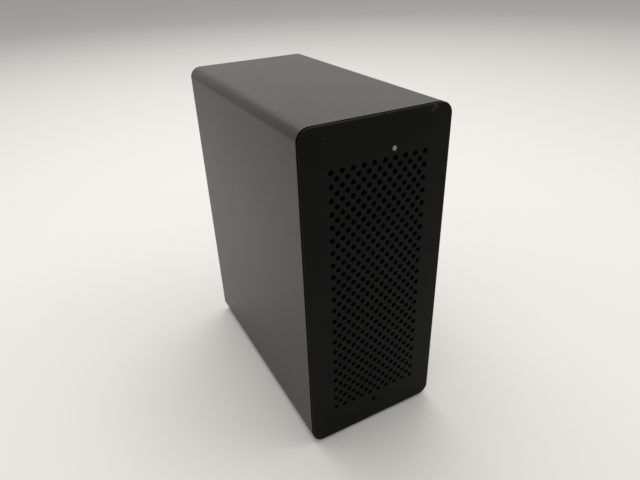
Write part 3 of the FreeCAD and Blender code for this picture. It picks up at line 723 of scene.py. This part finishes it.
rearSpec = {"thick": 1.5 * mm, "corner": 2.35 * mm, "cornerSteps": 8, "edgeSoft": 0.2 * mm,
            "holeRim": 0.12 * mm, "cell": 7.4 * mm, "cellPitch": 8.6 * mm, "cellRings": 2,
            "screwHole": 1.7 * mm, "screwSteps": 24, "portGap": 0.2 * mm, "portSteps": 32,
            "jackHole": 4.5 * mm, "jackSteps": 40, "tabDepth": 9.0 * mm, "tabHeight": 9.0 * mm,
            "tabSoft": 0.2 * mm, "colour": (0.020, 0.020, 0.021)}


def honeycomb(pitch, rings):        # centres of the cells about the middle one
    reach = range(-rings, rings + 1)
    cells = [(q, r) for q in reach for r in reach if abs(q + r) <= rings]
    return [(pitch * (q + r / 2), pitch * r * math.sqrt(3) / 2) for q, r in cells]


def buildRearPanel(spec):
    low, high = spanOf("rear_panel")
    middle, fan = (low + high) / 2, middleOf("fan_frame")
    thick, rim = spec["thick"], spec["holeRim"]
    bm = roundedBlock(high.x - low.x, thick, high.z - low.z, spec["corner"], spec["cornerSteps"])
    for y in (0, thick):
        roundEdges(bm, edgesAt(bm, y), spec["edgeSoft"])
    openEnds(bm)
    cell = holePattern(spec["cell"] / math.sqrt(3), thick, rim, 6)
    cells = honeycomb(spec["cellPitch"], spec["cellRings"])
    pierce(bm, cell, [(fan.x + x, fan.z + z) for x, z in cells], middle)
    screws = cornersOf("rear_screws", rearScrew["head"]) + cornersOf("fan_screws", fanScrew["head"])
    pierce(bm, holePattern(spec["screwHole"], thick, rim, spec["screwSteps"]), screws, middle)
    steps = spec["portSteps"]
    for node in portNodes:
        across, tall = portSpan(node)
        slot = holePattern(across / 2 + spec["portGap"], thick, rim, steps, tall - across, math.pi / steps)
        pierce(bm, slot, [(middleOf(node).x, middleOf(node).z)], middle)
    pierce(bm, holePattern(spec["jackHole"], thick, rim, spec["jackSteps"]), [jackAxis()], middle)
    closeEnds(bm, thick)
    shift(bm, 0, high.y - thick, middle.z)
    boardFace, half = spanOf("main_board")[0].x, spec["tabHeight"] / 2
    for z in boardScrewHeights():
        stamp(bm, barPattern((boardFace - thick, high.y - thick - spec["tabDepth"], z - half),
                             (boardFace, high.y - thick / 2, z + half), spec["tabSoft"]))
    look = texturedMoulding("powderCoat", spec["colour"], roughness=0.55, specular=0.35, grainScale=1300)
    finishPiece("rear_plate_pierced", bm, [look], "tray", ["rear_panel"])


buildRearPanel(rearSpec)
buildPorts(portSpec)
buildJack(jackSpec)
buildScrews()
print("rear built")


# Main board with its small surface parts

boardSpec = {"partHeight": 0.5 * mm, "partLength": 1.0 * mm, "partWidth": 0.5 * mm, "partEnd": 0.22 * mm,
             "endWide": 1.08, "endTall": 1.06, "via": 0.3 * mm, "viaLift": 0.02 * mm, "viaSteps": 10,
             "chipHeight": 1.0 * mm, "chipSoft": 0.12 * mm, "pin": 0.3 * mm, "pinPitch": 0.9 * mm,
             "pinMargin": 0.8 * mm, "pinReach": 0.9 * mm, "pinThick": 0.25 * mm, "pinSoft": 0.04 * mm,
             "mask": (0.006, 0.036, 0.021), "copper": (0.012, 0.062, 0.036)}
boardRows = {"cooler": {"gaps": (2.4 * mm, 4.4 * mm), "start": 3.0 * mm, "pitch": 2.6 * mm, "count": 14},
             "coils": {"gaps": (3.0 * mm, 4.8 * mm), "start": 2.0 * mm, "pitch": 3.2 * mm, "count": 14},
             "drives": {"up": 12.6 * mm, "start": 7.0 * mm, "pitch": 2.4 * mm, "count": 12},
             "vias": {"fromLow": (8.0 * mm, 14.5 * mm), "fromCooler": (12.0 * mm, 15.1 * mm),
                      "fromHigh": 9.0 * mm, "stagger": 2.0 * mm, "start": 8.0 * mm, "pitch": 3.1 * mm,
                      "count": 24}}
boardChips = [{"back": 14 * mm, "up": 112 * mm, "deep": 5 * mm, "tall": 6 * mm},
              {"back": 36 * mm, "up": 114 * mm, "deep": 4 * mm, "tall": 4 * mm},
              {"back": 20 * mm, "up": 26 * mm, "deep": 7 * mm, "tall": 7 * mm},
              {"back": 62 * mm, "up": 30 * mm, "deep": 5 * mm, "tall": 5 * mm}]


def chipPart(spec, first):        # small part that stands on +Z, its two ends plated
    half, end = spec["partLength"] / 2, spec["partEnd"]
    wide, tall = spec["partWidth"] / 2, spec["partHeight"]
    endWide, endTall = spec["endWide"] * wide, spec["endTall"] * tall
    bm = barPattern((-wide, end - half, 0), (wide, half - end, tall), index=first)
    for side in (-half, half):
        inner = math.copysign(half - end, side)
        stamp(bm, barPattern((-endWide, side, 0), (endWide, inner, endTall), index=first + 1))
    return bm


def addFlatChip(bm, spec, chip, corner):        # moulded body with a row of pins on two sides
    place = Vector((corner.x, corner.y + chip["back"], corner.z + chip["up"]))
    deep, tall = chip["deep"] / 2, chip["tall"] / 2
    stamp(bm, barPattern(place + Vector((0, -deep, -tall)), place + Vector((spec["chipHeight"], deep, tall)),
                         spec["chipSoft"], index=3))
    pitch, half = spec["pinPitch"], spec["pin"] / 2
    count = int((chip["deep"] - spec["pinMargin"]) / pitch) + 1
    for side in (-tall, tall):
        toe = side + math.copysign(spec["pinReach"], side)
        pin = barPattern((0, -half, side), (spec["pinThick"], half, toe), spec["pinSoft"], 1, index=2)
        stamp(bm, pin, [Matrix.Translation(place + Vector((0, y, 0))) for y in centredSteps(0, pitch, count)])


def paintCutEdges(bm, index):        # the laminate shows where the board is cut
    for face in bm.faces:
        if abs(face.normal.x) < 0.5:
            face.material_index = index


def rowSteps(row, start):        # one row's places along the board, counted from a start
    return evenSteps(start + row["start"], row["pitch"], row["count"])


def smallPartPlaces(rows):        # on the cooler's side of the board, and on the drives' side
    sinkLow, sinkHigh = spanOf("heat_sink")
    coils = spanOf("power_coils")[0]
    row = rows["cooler"]
    heights = [sinkLow.z - gap for gap in row["gaps"]] + [sinkHigh.z + gap for gap in row["gaps"]]
    right = [(y, z) for z in heights for y in rowSteps(row, sinkLow.y)]
    row = rows["coils"]
    right += [(coils.y - gap, z) for gap in row["gaps"] for z in rowSteps(row, coils.z)]
    row = rows["drives"]
    left = [(y, middleOf(node).z + row["up"])
            for node in driveNodes for y in rowSteps(row, spanOf(node)[0].y)]
    return right, left


def viaPlaces(row):        # every second row is shifted
    low, high = spanOf("main_board")
    cooler = spanOf("heat_sink")[1]
    heights = [low.z + up for up in row["fromLow"]] + [cooler.z + up for up in row["fromCooler"]]
    heights.append(high.z - row["fromHigh"])
    return [(y + row["stagger"] * (index % 2), z)
            for index, z in enumerate(heights) for y in rowSteps(row, low.y)]


def buildBoard(spec, rows):
    low, high = spanOf("main_board")
    bm = copyOf("main_board")
    paintCutEdges(bm, 4)
    right, left = smallPartPlaces(rows)
    stamp(bm, chipPart(spec, 1), [aim((high.x, y, z), (1, 0, 0)) for y, z in right])
    stamp(bm, chipPart(spec, 1), [aim((low.x, y, z), (-1, 0, 0)) for y, z in left])
    inner, outer, lift = spec["via"] / 2, spec["via"], spec["viaLift"]
    ring = [(inner, -lift), (inner, lift), (outer, lift), (outer, -lift), (inner, -lift)]
    via = turnedPattern(ring, spec["viaSteps"], 2)
    stamp(bm, via, [aim((high.x, y, z), (1, 0, 0)) for y, z in viaPlaces(rows["vias"])])
    for chip in boardChips:
        addFlatChip(bm, spec, chip, Vector((high.x, low.y, low.z)))
    mask = solderMask("boardMask", spec["mask"], spec["copper"])
    looks = [mask, partCeramic, tinPlate, chipResin, cutLaminate]
    finishPiece("main_board_fitted", bm, looks, "tray", ["main_board"])


# Drives, their sockets and posts

driveSpec = {"card": 0.8 * mm, "chipSoft": 0.15 * mm, "sideStart": 12.0 * mm, "sidePitch": 1.9 * mm,
             "sideParts": 5, "sideOut": 7.6 * mm, "endStart": 8.0 * mm, "endPitch": 2.2 * mm, "endRows": 4,
             "columnPitch": 3.4 * mm, "columns": 4, "post": 4.6 * mm, "postBevel": (0.2 * mm, 0.15 * mm),
             "mask": (0.005, 0.012, 0.030), "copper": (0.009, 0.022, 0.050),
             "postColour": (0.62, 0.43, 0.17)}
socketSpec = {"contacts": 36, "contactPitch": 0.5 * mm, "contactWidth": 0.24 * mm, "contactLift": 0.03 * mm,
              "contactSlot": 1, "contactStart": 1.4 * mm, "contactEnd": 0.05 * mm, "contactGap": 0.06 * mm,
              "colour": (0.016, 0.016, 0.016)}


def buildDriveCard(node, spec, mask):
    low, high = spanOf(node)
    back, middle = high.x - spec["card"], (low + high) / 2
    bm = copyOf(node)
    tops = [edge for edge in bm.edges if any(vert.co.x < low.x + weld for vert in edge.verts)]
    roundEdges(bm, tops, spec["chipSoft"])
    paintCutEdges(bm, 4)
    for face in bm.faces:        # the chips stand proud of the card
        if face.calc_center_median().x < back - weld:
            face.material_index = 1
    sideRow = evenSteps(low.y + spec["sideStart"], spec["sidePitch"], spec["sideParts"])
    endRows = evenSteps(high.y - spec["endStart"], -spec["endPitch"], spec["endRows"])
    columns = centredSteps(middle.z, spec["columnPitch"], spec["columns"])
    spots = [(y, middle.z + out) for y in sideRow for out in (-spec["sideOut"], spec["sideOut"])]
    spots += [(y, z) for y in endRows for z in columns]
    stamp(bm, chipPart(boardSpec, 2), [aim((back, y, z), (-1, 0, 0)) for y, z in spots])
    looks = [mask, chipResin, partCeramic, tinPlate, cutLaminate]
    finishPiece(node + "_card", bm, looks, "tray", [node])


def buildSocket(socket, drive, spec, resin):
    back, mouth, gap = spanOf(drive)[1].x, spanOf(socket)[1].y, spec["contactGap"]
    bm = copyOf(socket)
    for x in (back - driveSpec["card"] - gap, back + gap):
        contactRow(bm, spec, x, mouth - spec["contactStart"], mouth - spec["contactEnd"], middleOf(drive).z)
    finishPiece(socket + "_moulded", bm, [resin, contactGold], "tray", [socket])


def buildDrives(spec):
    mask = solderMask("driveMask", spec["mask"], spec["copper"])
    resin = texturedMoulding("socketResin", socketSpec["colour"])
    posts = bmesh.new()
    reach, (bevelIn, bevelUp) = spec["post"] / math.sqrt(3), spec["postBevel"]
    for node in driveNodes:
        socket = node.replace("drive_", "drive_socket_")
        buildDriveCard(node, spec, mask)
        buildSocket(socket, node, socketSpec, resin)
        high = spanOf(node)[1]
        tall = spanOf(socket)[1].x - high.x
        post = turnedPattern([(0, 0), (reach - bevelIn, 0), (reach, bevelUp), (reach, tall), (0, tall)], 6)
        stamp(posts, post, [aim((high.x, high.y, middleOf(node).z), (1, 0, 0))])
    brass = plainMetal("postBrass", spec["postColour"], roughness=0.3)
    finishPiece("drive_posts", posts, [brass], "tray", ["drive_standoffs"], sharp=20)


# Other parts on the board: bridge chip, cooler, coils, capacitors, fan socket and status light

softened = {"bridge_chip": (0.12 * mm, 2), "heat_sink": (0.18 * mm, 2), "power_coils": (0.3 * mm, 3),
            "status_led": (0.2 * mm, 2)}        # rounding and its steps
canSpec = {"radius": 3.15 * mm, "pitch": 10.0 * mm, "count": 2, "crimp": 1.6 * mm, "crimpHalf": 0.3 * mm,
           "neck": 0.93, "round": 0.45 * mm, "roundSteps": 4, "rim": 0.08 * mm, "rimShare": 0.8,
           "sunkShare": 0.77, "steps": 40, "colour": (0.66, 0.66, 0.65)}
headerSpec = {"pins": 4, "pitch": 1.25 * mm, "floor": 1.6 * mm, "pin": 0.25 * mm, "pinLength": 3.4 * mm,
              "pinPoint": 0.3 * mm, "pinTip": 0.4, "pinSteps": 8, "bedded": 0.1 * mm,
              "colour": (0.62, 0.58, 0.48)}


def buildSoftened(node, name, look):        # the CAD shape with its edges rounded
    bm = copyOf(node)
    soft, segments = softened[node]
    roundEdges(bm, bm.edges[:], soft, segments)
    finishPiece(name, bm, [look], "tray", [node])


def buildCans(spec):        # cans with a crimped neck and a sunk top
    low, high = spanOf("capacitors")
    radius, crimp, half = spec["radius"], spec["crimp"], spec["crimpHalf"]
    height = high.x - low.x
    sunk = height - spec["rim"]
    profile = [(0, 0), (radius, 0), (radius, crimp - half), (spec["neck"] * radius, crimp),
               (radius, crimp + half)]
    profile += roundedShoulder(radius, height, spec["round"], spec["roundSteps"])
    profile += [(spec["rimShare"] * radius, height), (spec["sunkShare"] * radius, sunk), (0, sunk)]
    y, heights = (low.y + high.y) / 2, evenSteps(low.z + radius, spec["pitch"], spec["count"])
    bm = bmesh.new()
    stamp(bm, turnedPattern(profile, spec["steps"]), [aim((low.x, y, z), (1, 0, 0)) for z in heights])
    look = plainMetal("canAluminium", spec["colour"], roughness=0.3)
    finishPiece("capacitor_cans", bm, [look], "tray", ["capacitors"])


def buildHeader(spec):        # empty fan socket with its pins
    low, middle = spanOf("fan_header")[0], middleOf("fan_header")
    bm = copyOf("fan_header")
    pin, length = spec["pin"], spec["pinLength"]
    end = length + spec["pinPoint"]
    profile = [(0, 0), (pin, 0), (pin, length), (spec["pinTip"] * pin, end), (0, end)]
    foot = low.x + spec["floor"] - spec["bedded"]
    heights = centredSteps(middle.z, spec["pitch"], spec["pins"])
    shape = turnedPattern(profile, spec["pinSteps"], 1)
    stamp(bm, shape, [aim((foot, middle.y, z), (1, 0, 0)) for z in heights])
    ivory = texturedMoulding("headerResin", spec["colour"])
    finishPiece("fan_header_pins", bm, [ivory, tinPlate], "tray", ["fan_header"])


buildBoard(boardSpec, boardRows)
buildDrives(driveSpec)
buildSoftened("bridge_chip", "bridge_chip_moulded", chipResin)
fins = plainMetal("finAluminium", (0.50, 0.50, 0.49), roughness=0.34, grainScale=(900, 30, 900))
buildSoftened("heat_sink", "heat_sink_fins", fins)
ferrite = texturedMoulding("ferrite", (0.045, 0.045, 0.047), roughness=0.6, grainScale=1500)
buildSoftened("power_coils", "power_coils_moulded", ferrite)
lightResin = texturedMoulding("lightResin", (0.66, 0.64, 0.52), roughness=0.35, specular=0.5)
buildSoftened("status_led", "status_led_moulded", lightResin)
buildCans(canSpec)
buildHeader(headerSpec)
print("board built")


# Fan: square frame with a round duct, twisted blades on a cup, and a four-pole motor

fanSpec = {"corner": 3.0 * mm, "cornerSteps": 8, "frameSoft": 0.3 * mm, "bore": 24.0 * mm,
           "boreRim": 0.35 * mm, "boreSteps": 96, "screwHole": 1.55 * mm, "screwRim": 0.3 * mm,
           "screwSteps": 24, "base": 11.5 * mm, "baseThick": 2.0 * mm, "baseSoft": 0.3 * mm,
           "baseSteps": 64, "tubeWall": 1.0 * mm, "spokes": 4, "spokeWidth": 3.0 * mm, "spokeRoot": 0.6 * mm,
           "spokeBedded": 0.5 * mm, "spokeInset": 0.05 * mm, "spokeSoft": 0.35 * mm, "hubRound": 0.8 * mm,
           "hubSteps": 4, "colour": (0.016, 0.016, 0.017)}
motorSpec = {"shaftSoft": 0.25 * mm, "shaftEnd": 0.8, "shaftSteps": 32, "shaftColour": (0.56, 0.55, 0.54),
             "bushGap": 0.03 * mm, "bushSoft": 0.2 * mm, "bushSteps": 40, "bushColour": (0.42, 0.25, 0.11),
             "slots": 4, "slotWidth": 2.5 * mm, "windingStart": 1.8 * mm, "windingEnd": 0.6 * mm,
             "windingFront": 0.2 * mm, "windingBack": 0.1 * mm, "windingSoft": 0.4 * mm, "windingSteps": 3,
             "coreColour": (0.16, 0.16, 0.165), "windingColour": (0.55, 0.23, 0.09)}


def turnsAbout(count, start=0.0):        # equal turns about the fan's axis
    return [Matrix.Rotation(start + 2 * math.pi * turn / count, 4, "Y") for turn in range(count)]


def turnedOnAxis(profile, node, segments):        # spun about the fan's axis from a node's front end
    middle = middleOf("fan_frame")
    bm = turnedPattern(profile, segments)
    place = aim((middle.x, spanOf(node)[0].y, middle.z), (0, 1, 0))
    bmesh.ops.transform(bm, matrix=place, verts=bm.verts[:])
    return bm


def buildFanFrame(spec, plastic):
    low, high = spanOf("fan_frame")
    middle, depth = (low + high) / 2, high.y - low.y
    bm = roundedBlock(high.x - low.x, depth, high.z - low.z, spec["corner"], spec["cornerSteps"])
    for y in (0, depth):
        roundEdges(bm, edgesAt(bm, y), spec["frameSoft"])
    openEnds(bm)
    stamp(bm, holePattern(spec["bore"], depth, spec["boreRim"], spec["boreSteps"]))
    screwHole = holePattern(spec["screwHole"], depth, spec["screwRim"], spec["screwSteps"])
    pierce(bm, screwHole, cornersOf("fan_screws", fanScrew["head"]), middle)
    closeEnds(bm, depth)
    bearingLow, bearingHigh = spanOf("fan_bearing")
    inner, reach = bearingHigh.x - middle.x, high.y - bearingLow.y
    tube, base, back, soft = inner + spec["tubeWall"], spec["base"], spec["baseThick"], spec["baseSoft"]
    profile = [(0, 0), (base - soft, 0), (base, soft), (base, back), (tube, back), (tube, reach),
               (inner, reach), (inner, back), (0, back)]
    stamp(bm, turnedPattern(profile, spec["baseSteps"]), [aim((0, depth, 0), (0, -1, 0))])
    half, inset = spec["spokeWidth"] / 2, spec["spokeInset"]
    spoke = barPattern((base - spec["spokeRoot"], depth - back + inset, -half),
                       (spec["bore"] + spec["spokeBedded"], depth - inset, half), spec["spokeSoft"])
    stamp(bm, spoke, turnsAbout(spec["spokes"]))
    shift(bm, middle.x, low.y, middle.z)
    finishPiece("fan_frame_moulded", bm, [plastic], "tray", ["fan_frame"])


def buildBlades(spec, plastic):        # the CAD shape with its hub's front edge rounded
    middle, front = middleOf("fan_frame"), spanOf("fan_impeller")[0].y
    stator = spanOf("fan_stator")[1].x - middle.x
    bm = copyOf("fan_impeller")
    rim = [edge for edge in edgesAt(bm, front)
           if all(math.hypot(vert.co.x - middle.x, vert.co.z - middle.z) > stator for vert in edge.verts)]
    short = [edge for edge in rim if edge.calc_length() < stator / 2]
    roundEdges(bm, short, spec["hubRound"], spec["hubSteps"])
    finishPiece("fan_blades", bm, [plastic], "fan_rotor", ["fan_impeller"], sharp=32)


def buildMotor(spec):        # shaft, bush and wound stator
    middle = middleOf("fan_frame")
    low, high = spanOf("fan_shaft")
    radius, length, soft = (high.x - low.x) / 2, high.y - low.y, spec["shaftSoft"]
    end = spec["shaftEnd"] * radius
    profile = [(0, 0), (end, 0), (radius, soft), (radius, length - soft), (end, length), (0, length)]
    bm = turnedOnAxis(profile, "fan_shaft", spec["shaftSteps"])
    steel = plainMetal("shaftSteel", spec["shaftColour"], roughness=0.2)
    finishPiece("fan_shaft_ground", bm, [steel], "fan_rotor", ["fan_shaft"])
    low, high = spanOf("fan_bearing")
    inner, outer, length, soft = radius + spec["bushGap"], high.x - middle.x, high.y - low.y, spec["bushSoft"]
    profile = [(inner, soft), (inner + soft, 0), (outer, 0), (outer, length), (inner, length), (inner, soft)]
    bm = turnedOnAxis(profile, "fan_bearing", spec["bushSteps"])
    bronze = plainMetal("bushBronze", spec["bushColour"], roughness=0.45)
    finishPiece("fan_bearing_bush", bm, [bronze], "tray", ["fan_bearing"])
    low, high = spanOf("fan_stator")
    half, depth = spec["slotWidth"] / 2, high.y - low.y
    start = outer + fanSpec["tubeWall"] + spec["windingStart"]
    end = high.x - middle.x - spec["windingEnd"]
    bm = copyOf("fan_stator")
    winding = barPattern((start, spec["windingFront"], -half), (end, depth - spec["windingBack"], half),
                         spec["windingSoft"], spec["windingSteps"], 1)
    centre = Matrix.Translation((middle.x, low.y, middle.z))
    stamp(bm, winding, [centre @ turn for turn in turnsAbout(spec["slots"], math.pi / spec["slots"])])
    looks = [plainMetal("statorIron", spec["coreColour"], roughness=0.45),
             plainMetal("windingCopper", spec["windingColour"], roughness=0.35)]
    finishPiece("fan_stator_wound", bm, looks, "tray", ["fan_stator"])


fanPlastic = texturedMoulding("fanPlastic", fanSpec["colour"], roughness=0.42)
buildFanFrame(fanSpec, fanPlastic)
buildBlades(fanSpec, fanPlastic)
buildMotor(motorSpec)
print("fan built")


# Floor, light and camera

# the floor's far colour is painted shade: the floor is paler near the case and darker beyond, a painted pool
# of light
stageSpec = {"floorSize": 14.0, "floorColour": (0.87, 0.85, 0.825), "floorFarPaintedShade": (0.56, 0.552, 0.54),
             "paintedPoolReach": 1.7, "fadeStart": 0.1, "fadeEnd": 0.85, "sky": (0.78, 0.765, 0.742),
             "skyLight": 0.73, "skySeen": 0.55, "skyMirrored": 0.92}
lamps = {"overhead": {"at": (0.10, 0.42, 1.10), "size": 1.2, "power": 7.9},
         "frontFill": {"at": (0.65, -0.40, 0.95), "size": 0.5, "power": 1.0}}
lampTarget = Vector((0, 0, 0.07))        # about the middle of the case
photoCamera = {"lens": 29.2, "sensor": 36, "near": 0.005, "far": 60,        # lens and sensor in millimetres
               "eye": (-97.3 * mm, -139.94 * mm, 120.48 * mm),        # from the middle of the cap's face
               "turn": -27.445, "tilt": 60.314, "roll": -2.138}        # in degrees


def buildFloor(spec):
    bm = bmesh.new()
    bmesh.ops.create_grid(bm, x_segments=8, y_segments=8, size=spec["floorSize"] / 2)
    mesh = bpy.data.meshes.new("floor")
    bm.to_mesh(mesh)
    bm.free()
    look, shader = newLook("paleFloor", spec["floorColour"], roughness=0.85, specular=0.1)
    # painted fall-off of the light: the floor's colour darkens with distance from the middle
    near = nearSpot(look, objectPlace(look), (0, 0, 0), spec["paintedPoolReach"])
    paintedFalloff = rampOn(look, near, (spec["fadeStart"], spec["floorFarPaintedShade"]), (spec["fadeEnd"], spec["floorColour"]))
    wire(look, paintedFalloff, shader.inputs["Base Color"])
    mesh.materials.append(look)
    floor = bpy.data.objects.new("floor", mesh)
    bpy.context.scene.collection.objects.link(floor)


def buildSky(spec):        # one level for the light, others for the camera and for reflections
    world = bpy.data.worlds.new("studio")
    bpy.context.scene.world = world
    world.use_nodes = True
    nodes, links = world.node_tree.nodes, world.node_tree.links
    sky = nodes["Background"]
    sky.inputs["Color"].default_value = (*spec["sky"], 1)
    path = nodes.new("ShaderNodeLightPath").outputs
    level = None
    for name, strength in (("Is Glossy Ray", "skyMirrored"), ("Is Transmission Ray", "skyMirrored"),
                           ("Is Camera Ray", "skySeen")):
        step = nodes.new("ShaderNodeMix")
        links.new(path[name], step.inputs["Factor"])
        step.inputs["A"].default_value = spec["skyLight"]
        step.inputs["B"].default_value = spec[strength]
        if level:
            links.new(level, step.inputs["A"])
        level = step.outputs["Result"]
    links.new(level, sky.inputs["Strength"])


def buildLamp(name, lamp, target):
    light = bpy.data.lights.new(name, "AREA")
    light.size, light.energy = lamp["size"], lamp["power"]
    holder = bpy.data.objects.new(name, light)
    bpy.context.scene.collection.objects.link(holder)
    holder.location = lamp["at"]
    holder.rotation_euler = (target - Vector(lamp["at"])).to_track_quat("-Z", "Y").to_euler()


def buildCamera(view):
    low, high = spanOf("front_panel")
    camera = bpy.data.objects.new("camera", bpy.data.cameras.new("camera"))
    camera.data.lens, camera.data.sensor_width = view["lens"], view["sensor"]
    camera.data.clip_start, camera.data.clip_end = view["near"], view["far"]
    turn, tilt, roll = (math.radians(view[name]) for name in ("turn", "tilt", "roll"))
    spin = Matrix.Rotation(turn, 4, "Z") @ Matrix.Rotation(tilt, 4, "X") @ Matrix.Rotation(roll, 4, "Z")
    eye = Vector((0, low.y, (low.z + high.z) / 2)) + Vector(view["eye"])
    camera.matrix_world = Matrix.Translation(eye) @ spin
    bpy.context.scene.collection.objects.link(camera)
    bpy.context.scene.camera = camera


buildFloor(stageSpec)
buildSky(stageSpec)
for name, lamp in lamps.items():
    buildLamp(name, lamp, lampTarget)
buildCamera(photoCamera)
bpy.context.scene.view_settings.view_transform = "Standard"
print("stage built")
